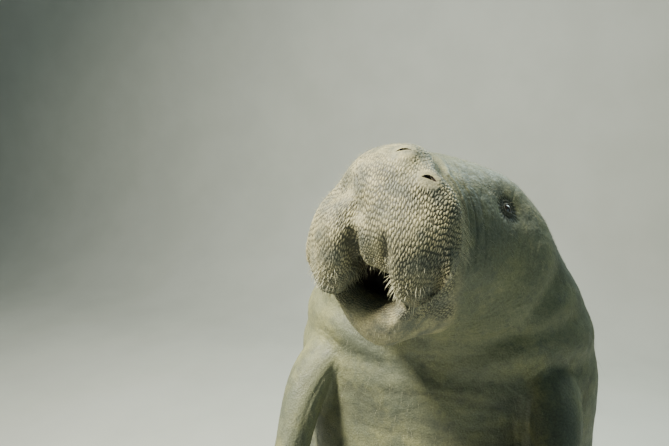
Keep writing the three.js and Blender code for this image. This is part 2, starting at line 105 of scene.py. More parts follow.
# Sections of a flipper: out, forward and down from its root, breadth, thickness, turn of the front edge
FLIPPER_ROOT = {1: (200, 470, -76), -1: (210, 470, -76)}
FLIPPER = np.array([
    [-66, -24, -40, 150, 92, 0],
    [-34, 12, -6, 146, 86, 0],
    [-12, 52, 40, 134, 74, -1],  # elbow
    [-6, 92, 98, 122, 60, -2],
    [-4, 124, 164, 126, 50, -3],
    [-4, 146, 232, 142, 42, -3],  # wrist
    [-5, 158, 300, 148, 34, -2],
    [-6, 164, 354, 132, 27, 0],
    [-7, 166, 388, 98, 20, 1],
    [-7, 166, 404, 54, 13, 1],
], float)
FLIPPER_LAST = len(FLIPPER) - 1
FLIPPER_LEAN = {1: -9, -1: 3.5}
FLIPPER_TURN = {1: -8, -1: -3}
NAILS = [(7.35, -0.62), (7.8, 0), (7.35, 0.6)]
NAIL_SIZE = (9, 13, 5)

LEFT, RIGHT = 1, -1
SIDES = {"left": LEFT, "right": RIGHT}


def smooth(t):
    """From 0 to 1 with no corner, for t held between 0 and 1."""
    t = np.clip(t, 0, 1)
    return t * t * (3 - 2 * t)


def line(distance, width):
    """A groove or ridge along a value that is 0 on its line."""
    return np.exp(-(distance / width) ** 2)


def swell(x, y, z, middle, reach):
    """A smooth swelling, 1 at its middle."""
    d = (x - middle[0]) ** 2 / reach[0] ** 2 + (y - middle[1]) ** 2 / reach[1] ** 2
    return np.exp(-d - (z - middle[2]) ** 2 / reach[2] ** 2)


def through(p0, p1, p2, p3, t):
    """The Catmull-Rom curve between the middle two of four values."""
    return 0.5 * (2 * p1 + (p2 - p0) * t + (2 * p0 - 5 * p1 + 4 * p2 - p3) * t ** 2
                  + (3 * p1 - p0 - 3 * p2 + p3) * t ** 3)


def along(table, r):
    """A table's row at the place r, whole or between two rows."""
    r = np.asarray(r, float)
    i = np.minimum(np.floor(r).astype(int), len(table) - 2)
    near = [table[np.clip(i + k, 0, len(table) - 1)] for k in (-1, 0, 1, 2)]
    return through(*near, (r - i)[..., None])


def plain(r, angle):
    """The plain loft of the straight animal. angle is 0 at the top."""
    ring = along(RINGS, r)
    across = np.sin(angle)
    height = np.cos(angle)
    end_b = np.where(height > 0, ring[..., 0], ring[..., 5])
    end_z = np.where(height > 0, ring[..., 1], ring[..., 6])
    x = ring[..., 3] * across * (1 - ring[..., 8] * smooth(-height / 0.65))
    y = ring[..., 2] + (end_b - ring[..., 2]) * height ** 2
    z = ring[..., 4] + (end_z - ring[..., 4]) * np.abs(height) ** ring[..., 7]
    return np.stack([x, y, z], -1)


def behind_muzzle(y, z):
    """Distance behind the fold that parts the muzzle from the cheeks and the forehead."""
    return y - 70 + 0.16 * z - 0.009 * np.maximum(0, -z - 50) ** 2 - 1.15 * np.maximum(0, z - 34)


def relief(p):
    """How far the flesh stands out of the plain loft."""
    x, y, z = p[..., 0], p[..., 1], p[..., 2]
    mirrored = np.abs(x)
    lip = np.abs(x - LIP_TWIST)
    lobe = np.abs(x - LOBE["middle"])
    on_disc = smooth((75 - y) / 45)
    out = 9 * swell(lobe, y, z, (54, 16, -90), (24, 40, 22))  # lobes of the upper lip
    out += 7 * swell(lip, y, z, (54, 4, -36), (32, 40, 34))  # pads of the disc
    out -= 12 * swell(x, y, z, (-15, -3, -16), (17, 30, 22))  # hollow over the lip
    cleft = smooth((-32 - z) / 24) * smooth((z + 104) / 20) * on_disc
    out -= (9 * line(x + 15, 7) + 12 * line(x - 28, 9)) * cleft  # the two clefts of the lip
    out += 3 * line(x - 4, 9) * cleft
    for spot in NOSTRILS.values():
        out += 4 * swell(x, y, z, (spot["x"], spot["b"], spot["z"]), (16, 22, 18))  # mounds of the nostrils
    out -= 3 * swell(x, y, z, (41, 44, 43), (9, 26, 20))
    out += 6 * swell(x, y, z, (82, 56, 0), (24, 34, 34))  # fullness of the snout's left side
    out -= 15 * swell(x, y, z, (-55, 18, 6), (30, 40, 22))  # flatter right side
    out += 3 * swell(x, y, z, (34, 62, 62), (20, 24, 20))
    behind = behind_muzzle(y, z)
    beside = smooth((z + 118) / 50)
    out -= 7 * line(behind, 9) * beside  # fold behind the muzzle
    out += 4 * line(behind + 24, 18) * beside
    out -= 2.5 * line(behind - 24, 7) * beside * smooth((z + 90) / 40)
    out += 8 * swell(mirrored, y, z, (108, 150, -84), (50, 55, 45))  # cheek
    out += 8.5 * swell(mirrored, y, z, (102, 197, 62), (44, 56, 30))  # brow
    out += 3 * swell(mirrored, y, z, (150, 250, 42), (30, 44, 32))
    out -= 5 * swell(mirrored, y, z, (121, 181, 17), (30, 26, 19))  # hollow of the eye
    low = smooth((10 - z) / 60)
    out -= 10 * line(y - 300 - 52 * (np.maximum(0, -61 - z) / 95) ** 2, 22) * low  # under the jaw
    out -= 7 * line(y - 385 - 0.3 * z, 21) * smooth((60 - z) / 140)  # throat folds
    out -= 6 * line(y - 470 - 0.3 * z, 23) * smooth((60 - z) / 140)
    out -= 5 * line(y - 372, 34) * smooth((z - 70) / 60)  # nape
    out += 5 * swell(mirrored, y, z, (225, 600, 40), (80, 130, 110))  # shoulder blade
    return out


def hang(p, r, angle):
    """How far the upper lip hangs forward and down in a lobe on each side of its middle."""
    x = p[..., 0]
    here = np.exp(-((np.abs(x - LOBE["middle"]) - LOBE["apart"]) / LOBE["reach"]) ** 4)
    here = here * smooth((r - 1.2) / 1.6) * (1 - smooth((r - 3.4) / 3.4))
    under = 0.3 * smooth((r - 3) / 1.5)
    here = here * smooth((np.cos(angle) + 0.05 + under) / 0.35)
    down = LOBE["down"] * (1 - LOBE["uneven"] * np.sign(x))
    return here[..., None] * np.stack([0 * x, 0 * x - LOBE["forward"], -down], -1)


def straight(r, angle, extra=0.0):
    """A point of the straight animal's skin, grown outwards by extra."""
    r, angle = np.broadcast_arrays(np.asarray(r, float), np.asarray(angle, float))
    p = plain(r, angle)
    step = 0.02
    back = plain(np.minimum(r + step, LAST_RING), angle) - plain(np.maximum(r - step, 0), angle)
    around = plain(r, angle + step) - plain(r, angle - step)
    normal = np.cross(around, back)
    normal /= np.linalg.norm(normal, axis=-1, keepdims=True) + 1e-9
    return p + normal * (relief(p) + extra)[..., None] + hang(p, r, angle)


def slope_at(b):
    """The slope of the body's axis in radians, b behind the snout."""
    i = np.clip(np.searchsorted(SLOPES[:, 0], b, side="right") - 1, 0, len(SLOPES) - 2)
    t = np.clip((b - SLOPES[i, 0]) / (SLOPES[i + 1, 0] - SLOPES[i, 0]), 0, 1)
    near = [SLOPES[np.clip(i + k, 0, len(SLOPES) - 1), 1] for k in (-1, 0, 1, 2)]
    return np.radians(through(*near, t))


def frame_at(b):
    """The directions to the side, back along the body and up from its back, b behind the snout."""
    slope = slope_at(b)
    turn = math.radians(HEAD_TURN) * (1 - smooth((b - 110) / 370))
    side = np.stack([np.cos(turn), -np.sin(turn), 0 * turn], -1)
    back = np.stack([np.sin(turn) * np.cos(slope), np.cos(turn) * np.cos(slope), -np.sin(slope)], -1)
    up = np.stack([np.sin(turn) * np.sin(slope), np.cos(turn) * np.sin(slope), np.cos(slope)], -1)
    return side, back, up


# The body's axis, walked in short steps from the snout
AXIS_STEP = 5
axis_b = np.arange(0, LENGTH + 1, AXIS_STEP, dtype=float)
axis_steps = frame_at(axis_b[:-1] + AXIS_STEP / 2)[1] * AXIS_STEP
axis = np.vstack([np.zeros(3), np.cumsum(axis_steps, 0)])


def bend(p):
    """Takes points of the straight animal to their places on the bent one."""
    b = np.clip(p[..., 1], 0, LENGTH - AXIS_STEP)
    side, back, up = frame_at(b)
    roll = math.radians(HEAD_ROLL) * smooth((620 - b) / 480)
    middle = np.stack([np.interp(b, axis_b, axis[:, k]) for k in range(3)], -1)
    x = p[..., 0] * np.cos(roll) + p[..., 2] * np.sin(roll)
    z = p[..., 2] * np.cos(roll) - p[..., 0] * np.sin(roll)
    return middle + side * x[..., None] + back * (p[..., 1] - b)[..., None] + up * z[..., None]


def flipper_point(side, at, across, outwards):
    """A place on a flipper: down its length, across it and out of its outer face."""
    apart, back, up = FLIPPER_ROOT[side]
    root = bend(np.array([side * apart, back, up], float))
    out, forward, down, breadth, thick, turn = np.moveaxis(along(FLIPPER, at), -1, 0)
    turn = np.radians(turn + FLIPPER_TURN[side])
    lean = math.radians(FLIPPER_LEAN[side])
    wide = across * breadth / 2
    deep = outwards * thick / 2 * (1 + 0.25 * across)
    x = out + wide * np.sin(turn) + deep * np.cos(turn)
    y = -forward - wide * np.cos(turn) + deep * np.sin(turn)
    outer = side * (x * math.cos(lean) + down * math.sin(lean))
    return root + np.stack([outer, y, x * math.sin(lean) - down * math.cos(lean)], -1)


def nearest_place(b, up, side):
    """The ring place and angle of the plain skin nearest to a distance back and a height."""
    r, angle = np.meshgrid(np.arange(4, 16, 0.05), np.arange(0, math.pi, 0.01), indexing="ij")
    p = plain(r, side * angle)
    best = np.argmin(np.hypot(p[..., 1] - b, p[..., 2] - up))
    return r.flat[best], side * angle.flat[best]


def nostril_place(spot):
    """The ring place and angle of a nostril's middle."""
    r, angle = np.meshgrid(np.arange(7, 10, 0.05), np.arange(-1, 1.3, 0.01), indexing="ij")
    p = plain(r, angle)
    best = np.argmin(np.hypot(p[..., 0] - spot["x"], p[..., 1] - spot["b"]))
    return r.flat[best], angle.flat[best]


eye_places = {side: nearest_place(EYE["b"], EYE["up"], side) for side in (LEFT, RIGHT)}
eye_centres = {side: bend(straight(*eye_places[side], -EYE["sunk"])) for side in (LEFT, RIGHT)}

# The animal is carried from the frame of its snout to its place over the base
low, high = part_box("eye_left")
LIFT = np.array((low + high) / 2) * 1000 - eye_centres[LEFT]


def in_place(points):
    """Millimetres in the frame of the snout as metres in the part's frame."""
    return (np.asarray(points) + LIFT) / 1000


def turned_towards(direction):
    """Rows of a matrix that turns z to a direction."""
    z = np.asarray(direction, float)
    z = z / np.linalg.norm(z)
    x = np.cross((0, 0, 1), z)
    if np.linalg.norm(x) < 1e-6:
        x = np.array([1.0, 0, 0])
    x /= np.linalg.norm(x)
    return np.stack([x, np.cross(z, x), z])


# Noise, seeded, so that it is the same on each run

RANDOM = np.random.default_rng(7)
SHUFFLED = RANDOM.permutation(256)
GRADIENTS = RANDOM.normal(size=(256, 3))
GRADIENTS /= np.linalg.norm(GRADIENTS, axis=1, keepdims=True)


def noise(p, size):
    """Gradient noise from about -1 to 1, with features of about that size."""
    p = np.asarray(p, float) / size
    cell = np.floor(p).astype(int)
    f = p - cell
    fade = f * f * f * (f * (f * 6 - 15) + 10)
    total = 0
    for corner in np.ndindex(2, 2, 2):
        i, j, k = ((cell + corner) & 255).T
        hashed = SHUFFLED[(SHUFFLED[(SHUFFLED[i] + j) & 255] + k) & 255]
        value = np.einsum("nk,nk->n", GRADIENTS[hashed], f - corner)
        weight = np.prod(np.where(corner, fade, 1 - fade), axis=1)
        total = total + value * weight
    return total * 1.6


def creases(p, size, sharp=6):
    """Thin creases where the noise passes through zero: 1 on a crease and 0 away from it."""
    return np.exp(-(noise(p, size) * sharp) ** 2)


# The skin: blocks of vertices in rows and columns, joined into one mesh

# Ring places where each part of the grid ends, and its columns, halved from part to part
GRID_PARTS = [(10.2, 960), (19.6, 480), (LAST_RING, 240)]
# Distance between rows in millimetres, up to each ring place
ROW_SPACING = [(1.2, 2.5), (10.2, 0.8), (13, 1.6), (19.6, 3.6), (LAST_RING, 7.5)]
GRID_TOP = 0.78  # share of the unwrap's height that the long grid takes
INSIDE = -1.0  # ring place of the skin inside the eyes' and nostrils' openings
FLIPPER_PLACE = 100.0  # added to the place down a flipper


class Skin:
    """Vertices, the place of each on the straight animal, faces, and their unwrap."""

    def __init__(self):
        self.points = np.zeros((0, 3))
        self.straight = np.zeros((0, 3))
        self.ring = np.zeros(0)
        self.angle = np.zeros(0)
        self.uv = np.zeros((0, 2))
        self.faces = []

    def add(self, points, straight_points, ring, angle, uv):
        """Adds a block of vertices and returns their numbers, in the block's rows and columns."""
        shape = points.shape[:-1]
        first = len(self.points)
        self.points = np.vstack([self.points, points.reshape(-1, 3)])
        self.straight = np.vstack([self.straight, straight_points.reshape(-1, 3)])
        self.ring = np.concatenate([self.ring, ring.ravel()])
        self.angle = np.concatenate([self.angle, np.broadcast_to(angle, shape).ravel()])
        self.uv = np.vstack([self.uv, uv.reshape(-1, 2)])
        return np.arange(first, len(self.points)).reshape(shape)

    def inner(self, rim, rings, box):
        """Rings of skin inside an opening, joined to its rim. They take the rim's place on the animal."""
        count = len(rings)
        straight_points = np.broadcast_to(self.straight[rim], rings.shape)
        ring = np.full(rings.shape[:-1], INSIDE)
        numbers = self.add(rings, straight_points, ring, self.angle[rim], unwrapped((count, len(rim)), box))
        self.join(np.vstack([rim, numbers]), box)
        return numbers

    def fan(self, ring, uv):
        """Closes a ring of vertices with triangles to its middle."""
        middle = self.add(
            self.points[ring].mean(0)[None], self.straight[ring].mean(0)[None],
            self.ring[ring[:1]], self.angle[ring[:1]], np.array([uv], float))
        triangles = np.stack([ring, np.roll(ring, -1), np.full(len(ring), middle[0])], -1)
        self.faces.append((triangles, self.uv[triangles]))

    def five_sided(self, fine, coarse, v):
        """Faces between a row and the next one, which has half as many columns."""
        after = np.roll(coarse, -1)
        faces = np.stack([fine[0::2], fine[1::2], np.roll(fine, -2)[0::2], after, coarse], -1)
        u = np.arange(len(coarse)) / len(coarse)
        step = 1 / len(coarse)
        below, above = v - 0.001, v
        uv = np.stack([
            np.stack([u + step * right, 0 * u + height], -1)
            for right, height in ((0, below), (0.5, below), (1, below), (1, above), (0, above))
        ], 1)
        self.faces.append((faces, uv))

    def join(self, numbers, box, kept=None):
        """Quads between the rows of a block that closes on itself, unwrapped into a box of the UV map."""
        rows, columns = numbers.shape
        after = np.roll(numbers, -1, 1)
        quads = np.stack([numbers[:-1], after[:-1], after[1:], numbers[1:]], -1)
        u = np.linspace(box[0], box[2], columns + 1)
        v = np.linspace(box[1], box[3], rows)
        left, lower = np.meshgrid(u[:-1], v[:-1])
        right, upper = np.meshgrid(u[1:], v[1:])
        uv = np.stack([
            np.stack([left, lower], -1), np.stack([right, lower], -1),
            np.stack([right, upper], -1), np.stack([left, upper], -1),
        ], -2)
        if kept is None:
            kept = np.ones((rows - 1, columns), bool)
        self.faces.append((quads[kept], uv[kept]))

    def normals(self):
        """A normal at each vertex, from the faces round it."""
        total = np.zeros_like(self.points)
        for faces, _ in self.faces:
            corners = self.points[faces]
            across = corners[:, 2] - corners[:, 0]
            along_face = corners[:, -1] - corners[:, 1]
            normal = np.cross(across, along_face)
            for k in range(faces.shape[1]):
                for axis_number in range(3):
                    total[:, axis_number] += np.bincount(
                        faces[:, k], normal[:, axis_number], len(self.points))
        return total / (np.linalg.norm(total, axis=1, keepdims=True) + 1e-12)

    def relaxed(self, weight, rounds):
        """Moves each vertex towards the middle of its neighbours, by its own weight."""
        edges = np.vstack([
            np.stack([faces[:, k], np.roll(faces, -1, 1)[:, k]], 1)
            for faces, _ in self.faces for k in range(faces.shape[1])
        ])
        count = np.bincount(edges.ravel(), minlength=len(self.points))
        for _ in range(rounds):
            total = np.stack([
                np.bincount(edges[:, 0], self.points[edges[:, 1], k], len(self.points))
                + np.bincount(edges[:, 1], self.points[edges[:, 0], k], len(self.points))
                for k in range(3)
            ], 1)
            mean = total / np.maximum(count, 1)[:, None]
            self.points += (mean - self.points) * (0.6 * weight)[:, None]


def row_places():
    """Places of the grid's rows down the rings: closest on the face, and wider down the body."""
    r = np.arange(0, LAST_RING + 1e-9, 0.02)
    angle = np.linspace(0, 2 * math.pi, 25)[:-1]
    points = plain(r[:, None], angle[None, :])
    length = np.linalg.norm(np.diff(points, axis=0), axis=-1).mean(1)
    middle = (r[:-1] + r[1:]) / 2
    spacing = np.select([middle < end for end, _ in ROW_SPACING], [size for _, size in ROW_SPACING])
    rows = np.concatenate([[0], np.cumsum(length / spacing)])
    return np.interp(np.linspace(0, rows[-1], int(rows[-1]) + 1), rows, r)


class Hole:
    """A rectangle left out of a grid, with the loop of its border as ring places, angles and vertices."""

    def __init__(self, rows, columns, numbers, r, angle):
        (i0, i1), (j0, j1) = rows, columns
        j_up, i_up = np.arange(j0, j1), np.arange(i0, i1)
        j_down, i_down = np.arange(j1, j0, -1), np.arange(i1, i0, -1)
        self.i = np.concatenate([0 * j_up + i0, i_up, 0 * j_down + i1, i_down])
        self.j = np.concatenate([j_up, 0 * i_up + j1, j_down, 0 * i_down + j0])
        self.columns = numbers.shape[1]
        self.vertices = numbers[self.i, self.j % self.columns]
        self.r = r[self.i]
        self.angle = angle[0] + self.j * (2 * math.pi / self.columns)
        self.cells = (i0, i1, j0, j1)

    def cut(self, kept):
        """Takes the hole's cells out of those that are kept."""
        i0, i1, j0, j1 = self.cells
        kept[i0:i1, np.arange(j0, j1) % self.columns] = False


def local_scale(r, angle):
    """Millimetres of skin for each unit of ring place and of angle."""
    step = 0.01
    down = straight(r + step, angle) - straight(r - step, angle)
    around = straight(r, angle + step) - straight(r, angle - step)
    return np.linalg.norm(down) / (2 * step), np.linalg.norm(around) / (2 * step)


def polar(hole, centre, scale):
    """The direction of each of the hole's border points from its centre."""
    return np.arctan2((hole.r - centre[0]) * scale[0], (hole.angle - centre[1]) * scale[1])


def unwrapped(shape, box):
    """A block's own share of the unwrap."""
    rows, columns = shape
    u = np.linspace(box[0], box[2], columns, endpoint=False)
    v = np.linspace(box[1], box[3], rows)
    v, u = np.meshgrid(v, u, indexing="ij")
    return np.stack([u, v], -1)


def fill_towards(skin, hole, contour_r, contour_angle, rings, box):
    """Rings of vertices over the skin, from a hole's border to a contour. Returns the contour's vertices."""
    share = np.linspace(0, 1, rings + 1)[1:, None] ** 0.8
    r = hole.r[None, :] * (1 - share) + contour_r[None, :] * share
    angle = hole.angle[None, :] * (1 - share) + contour_angle[None, :] * share
    p = straight(r, angle)
    numbers = skin.add(bend(p), p, r, angle, unwrapped(r.shape, box))
    skin.join(np.vstack([hole.vertices, numbers]), box)
    return numbers[-1]


def lens(direction, half, width):
    """The reach of a lens-shaped opening in each direction from its middle."""
    c, s = np.abs(np.cos(direction)), np.abs(np.sin(direction))
    bow = (half ** 2 - width ** 2) / (2 * width)
    # A point at reach d lies on an arc of radius bow + width whose middle is bow beyond the other side
    return -bow * s + np.sqrt((bow * s) ** 2 + half ** 2)


def hole_round(numbers, r_rows, angles, centre, scale, reach):
    """The rectangle of the grid that reaches at least so many millimetres round a centre, down and around."""
    i0 = np.searchsorted(r_rows, centre[0] - reach[0] / scale[0]) - 1
    i1 = np.searchsorted(r_rows, centre[0] + reach[0] / scale[0])
    column = 2 * math.pi / numbers.shape[1]
    j0 = math.floor((centre[1] - angles[0] - reach[1] / scale[1]) / column)
    j1 = math.ceil((centre[1] - angles[0] + reach[1] / scale[1]) / column)
    return Hole((i0, i1), (j0, j1), numbers, r_rows, angles)


def skin_grid(skin):
    """The long grid from the throat to the tip of the tail. Its columns are halved from part to part."""
    r = row_places()
    splits = [0] + [int(np.searchsorted(r, end, side="right")) for end, _ in GRID_PARTS]
    parts = []
    for first, last, (_, columns) in zip(splits, splits[1:], GRID_PARTS):
        rows = r[first:last]
        angle = np.arange(columns) * 2 * math.pi / columns
        box = (0, GRID_TOP * first / len(r), 1, GRID_TOP * last / len(r))
        p = straight(rows[:, None], angle[None, :])
        uv = unwrapped(p.shape[:-1], box)
        numbers = skin.add(bend(p), p, np.broadcast_to(rows[:, None], p.shape[:-1]), angle[None, :], uv)
        kept = np.ones((len(rows) - 1, columns), bool)
        parts.append({"r": rows, "angle": angle, "numbers": numbers, "kept": kept, "box": box})
    for part, after in zip(parts, parts[1:]):
        skin.five_sided(part["numbers"][-1], after["numbers"][0], part["box"][3])
    skin.fan(parts[0]["numbers"][0][::-1], (0.5, 0))
    skin.fan(parts[-1]["numbers"][-1], (0.5, GRID_TOP))
    return parts


FILL_RINGS = 16  # from the border of a hole to the opening in it


def opening(skin, grid, centre, reach, shape, turn, box, bow=0.0):
    """Cuts a hole in the grid and fills it up to a lens round its centre. Returns the lens's vertices."""
    scale = local_scale(*centre)
    hole = hole_round(grid["numbers"], grid["r"], grid["angle"], centre, scale, (reach, reach))
    hole.cut(grid["kept"])
    direction = polar(hole, centre, scale)
    length = lens(direction - turn, *shape)
    across = length * np.cos(direction - turn)
    over = length * np.sin(direction - turn) + bow * (1 - (across / across.max()) ** 2)
    down = across * math.sin(turn) + over * math.cos(turn)
    around = across * math.cos(turn) - over * math.sin(turn)
    contour_r, contour_angle = centre[0] + down / scale[0], centre[1] + around / scale[1]
    return fill_towards(skin, hole, contour_r, contour_angle, FILL_RINGS, box)


# Rings of the lids: distance from the eye's centre, and lean outwards
LID_RINGS = [(11.9, 0.05), (11.3, 0.08), (10.8, 0.05), (10.7, -0.1), (11.2, -0.4)]
# Rings of a nostril's walls: how far they shrink towards its middle, and depth
NOSTRIL_RINGS = [(0.05, 0.7), (0.16, 2), (0.3, 4.5), (0.42, 8), (0.5, 12), (0.75, 16)]


def eyelids(skin, side, contour, box):
    """The rim of the lids, and the skin behind it, over the ball of the eye."""
    centre = eye_centres[side]
    outwards = bend(straight(*eye_places[side], 10)) - centre
    outwards /= np.linalg.norm(outwards)
    towards = skin.points[contour] - centre
    towards /= np.linalg.norm(towards, axis=1, keepdims=True)
    rings = []
    for radius, lean in LID_RINGS:
        way = towards + outwards * lean
        way /= np.linalg.norm(way, axis=1, keepdims=True)
        rings.append(centre + way * radius)
    skin.inner(contour, np.array(rings), box)


def nostril_walls(skin, contour, normal, box):
    """The walls of a nostril, down to its closed end."""
    rim = skin.points[contour]
    middle = rim.mean(0)
    rings = [
        rim * (1 - shrink) + middle * shrink - normal * depth
        for shrink, depth in NOSTRIL_RINGS
    ]
    numbers = skin.inner(contour, np.array(rings), box)
    skin.fan(numbers[-1], ((box[0] + box[2]) / 2, box[3]))


ROOT_LINES = 72  # lines down a flipper that are followed out of the body
ROOT_CLEAR = 7  # a line has come out where it is this far outside the body's skin


def emergence(side):
    """Where each line down a flipper comes out of the body.

    Gives its direction round the flipper, its place down the flipper, and the body's ring place and angle."""
    r = np.linspace(14, 19.5, 140)
    angle = side * np.linspace(0.3, 2.9, 130)
    body = bend(straight(r[:, None], angle[None, :]))
    normal = np.cross(np.gradient(body, axis=1), np.gradient(body, axis=0)) * side
    normal /= np.linalg.norm(normal, axis=-1, keepdims=True)
    body, normal = body.reshape(-1, 3), normal.reshape(-1, 3)
    phi = np.arange(ROOT_LINES) * 2 * math.pi / ROOT_LINES
    at = np.arange(0.5, 6.5, 0.1)
    points = flipper_point(side, at[:, None], np.cos(phi)[None, :], np.sin(phi)[None, :]).reshape(-1, 3)
    nearest = np.argmin((body ** 2).sum(1)[None, :] - 2 * points @ body.T, axis=1)
    above = ((points - body[nearest]) * normal[nearest]).sum(1).reshape(len(at), ROOT_LINES)
    last = len(at) - 1 - np.argmax((above < ROOT_CLEAR)[::-1], axis=0)
    found = nearest.reshape(len(at), ROOT_LINES)[last, np.arange(ROOT_LINES)]
    row, column = np.unravel_index(found, (len(r), len(angle)))
    return phi, *(turned_smooth(values) for values in (at[last] + 0.1, r[row], angle[column]))


def turned_smooth(values, rounds=12):
    """Values round a closed ring, with their steps taken out."""
    for _ in range(rounds):
        values = (np.roll(values, 1) + 2 * values + np.roll(values, -1)) / 4
    return values


def round_the_ring(direction, known, values):
    """Values given at known directions round a closed ring, read at other directions."""
    order = np.argsort(known)
    known, values = known[order], values[order]
    known = np.concatenate([known - 2 * math.pi, known, known + 2 * math.pi])
    return np.interp(direction, known, np.tile(values, 3))


def flipper_straight(side, at, across, outwards):
    """The place on the straight animal that a flipper's skin takes its pattern from."""
    _, _, down, breadth, thick, _ = np.moveaxis(along(FLIPPER, at), -1, 0)
    x = side * (215 + outwards * thick / 2)
    return np.stack(np.broadcast_arrays(x, 480 + down, -100 - across * breadth / 2), -1)


FOOT_MARGIN = 20  # from where a flipper comes out of the body to the edge of its rounded foot
FOOT_REACH = 14  # from that edge to the border of the hole
FOOT_RINGS, FILLET_RINGS, BLADE_RINGS = 4, 9, 75
TIP_SHARES = [0.92, 0.78, 0.58, 0.34, 0.12]  # breadth of the rounded tip's rings
TIP_LENGTH = 7


def flipper_foot(skin, grid, side, box):
    """Cuts a hole in the body's grid round a flipper and fills it up to the edge of the flipper's foot.

    Gives the edge's vertices, and for each its place down the flipper and its direction round it."""
    phi, at, foot_r, foot_angle = emergence(side)
    centre = (foot_r.mean(), foot_angle.mean())
    scale = local_scale(*centre)
    down, around = (foot_r - centre[0]) * scale[0], (foot_angle - centre[1]) * scale[1]
    wider = 1 + FOOT_MARGIN / np.hypot(down, around)
    foot_r, foot_angle = centre[0] + down * wider / scale[0], centre[1] + around * wider / scale[1]
    reach = (np.abs(down * wider).max() + FOOT_REACH, np.abs(around * wider).max() + FOOT_REACH)
    hole = hole_round(grid["numbers"], grid["r"], grid["angle"], centre, scale, reach)
    hole.cut(grid["kept"])
    direction = polar(hole, centre, scale)
    known = np.arctan2(down, around)
    contour_r, contour_angle, start, sine, cosine = (
        round_the_ring(direction, known, values)
        for values in (foot_r, foot_angle, at, np.sin(phi), np.cos(phi)))
    foot = fill_towards(skin, hole, contour_r, contour_angle, FOOT_RINGS, box)
    return foot, start, np.arctan2(sine, cosine)


def flipper_fillet(skin, side, foot, section, t):
    """Rings that leave the body at a flipper's foot and run smoothly into the flipper's first section."""
    start, across, outwards = section
    root = flipper_point(side, start, across, outwards)
    foot_points = skin.points[foot]
    before = foot - len(foot)
    span = np.linalg.norm(root - foot_points, axis=1, keepdims=True)
    leaving = foot_points - skin.points[before]
    leaving *= span / np.linalg.norm(leaving, axis=1, keepdims=True)
    arriving = flipper_point(side, start + 0.05, across, outwards) - root
    arriving *= span / np.linalg.norm(arriving, axis=1, keepdims=True)
    return (
        (2 * t ** 3 - 3 * t ** 2 + 1) * foot_points + (t ** 3 - 2 * t ** 2 + t) * leaving
        + (3 * t ** 2 - 2 * t ** 3) * root + (t ** 3 - t ** 2) * arriving)


def flipper_skin(skin, grid, side, box):
    """A flipper, grown out of a hole in the body's grid through a rounded root."""
    foot, start, phi = flipper_foot(skin, grid, side, box)
    across, outwards = np.cos(phi), np.sin(phi)
    first = (start, across, outwards)
    t = np.linspace(0, 1, FILLET_RINGS + 1)[1:, None, None]
    down_at = start + (FLIPPER_LAST - start) * np.linspace(0, 1, BLADE_RINGS + 1)[1:, None]
    narrower = np.array(TIP_SHARES)[:, None]
    sections = [
        (down_at, across, outwards),
        (0 * narrower + FLIPPER_LAST, across * narrower, outwards * narrower),
    ]
    blade, tip = (flipper_point(side, *section) for section in sections)
    tip[..., 2] -= TIP_LENGTH * np.sqrt(1 - narrower ** 2)
    points = np.concatenate([flipper_fillet(skin, side, foot, first, t), blade, tip])
    patterns = np.concatenate([
        skin.straight[foot] * (1 - t) + flipper_straight(side, *first) * t,
        *(flipper_straight(side, *section) for section in sections)])
    rings = FLIPPER_PLACE + np.concatenate([
        start * t[..., 0], down_at, np.full(tip.shape[:-1], FLIPPER_LAST, float)])
    numbers = skin.add(points, patterns, rings, 0, unwrapped(rings.shape, box))
    skin.join(np.vstack([foot, numbers]), box)
    skin.fan(numbers[-1], ((box[0] + box[2]) / 2, box[3]))


def nails_near(side):
    """Middles of a flipper's nails, and the direction out of the flipper at each."""
    spots = []
    for at, across in NAILS:
        spot = flipper_point(side, at, across, 0.8)
        outer = flipper_point(side, at, across, 2) - spot
        spots.append((spot, outer / np.linalg.norm(outer)))
    return spots


EYE_REGION = 60  # how far from an eye its wrinkles reach
EYE_FAN = 11.5  # half the number of wrinkles that fan out from an eye


def eye_wrinkles(points):
    """Folds that fan out and run round each eye, and the painted shade of the eye's hollow and folds, with
    some of the skin's own darker tone.
    """
    height = np.zeros(len(points))
    crease = np.zeros(len(points))
    for side, centre in eye_centres.items():
        near = np.flatnonzero(np.linalg.norm(points - centre, axis=1) < EYE_REGION)
        outer = bend(straight(*eye_places[side], 10)) - centre
        local = (points[near] - centre) @ turned_towards(outer).T
        away = np.hypot(local[:, 0], local[:, 1] * 1.15)
        way = np.arctan2(local[:, 1], local[:, 0])
        wander = noise(points[near], 9)
        fan = line(np.sin(EYE_FAN * way + 1.3 * wander), 0.42) * smooth((away - 8) / 4)
        fan *= 1 - smooth((away - 17) / 15)
        round_lids = line(away - 10.5 - wander, 1.1) + 0.8 * line(away - 15 - 1.5 * wander, 1.4)
        puffed = line(away - 8.3, 2.4) + 0.8 * line(away - 12.8, 2.2)
        socket_shade = smooth((27 - away) / 16)
        height[near] += 1.8 * puffed - 1.1 * fan - 1.3 * round_lids
        crease[near] += 0.4 * fan + 0.35 * round_lids + 0.85 * socket_shade
    return height, crease


# Folds behind the muzzle: distance behind its edge, depth and width
NECKLACE = [(10, 1.2, 2.2), (21, 1.2, 2.4), (34, 0.9, 2.4), (52, 0.7, 3)]
# Nets of wrinkles: where they lie, size, stretch along x, y and z, depth, and how thin the creases are
WRINKLES = [
    ("face", 19, (0.6, 1, 0.6), 0.5, 4),
    ("face", 8.5, (1, 1, 1), 0.3, 3),
    ("trunk", 46, (0.3, 1, 0.5), 0.9, 4),
    ("trunk", 20, (0.6, 1, 0.6), 0.45, 3),
    ("limb", 26, (1, 0.5, 1), 0.8, 5),
    ("limb", 12, (1, 0.8, 1), 0.35, 3),
]


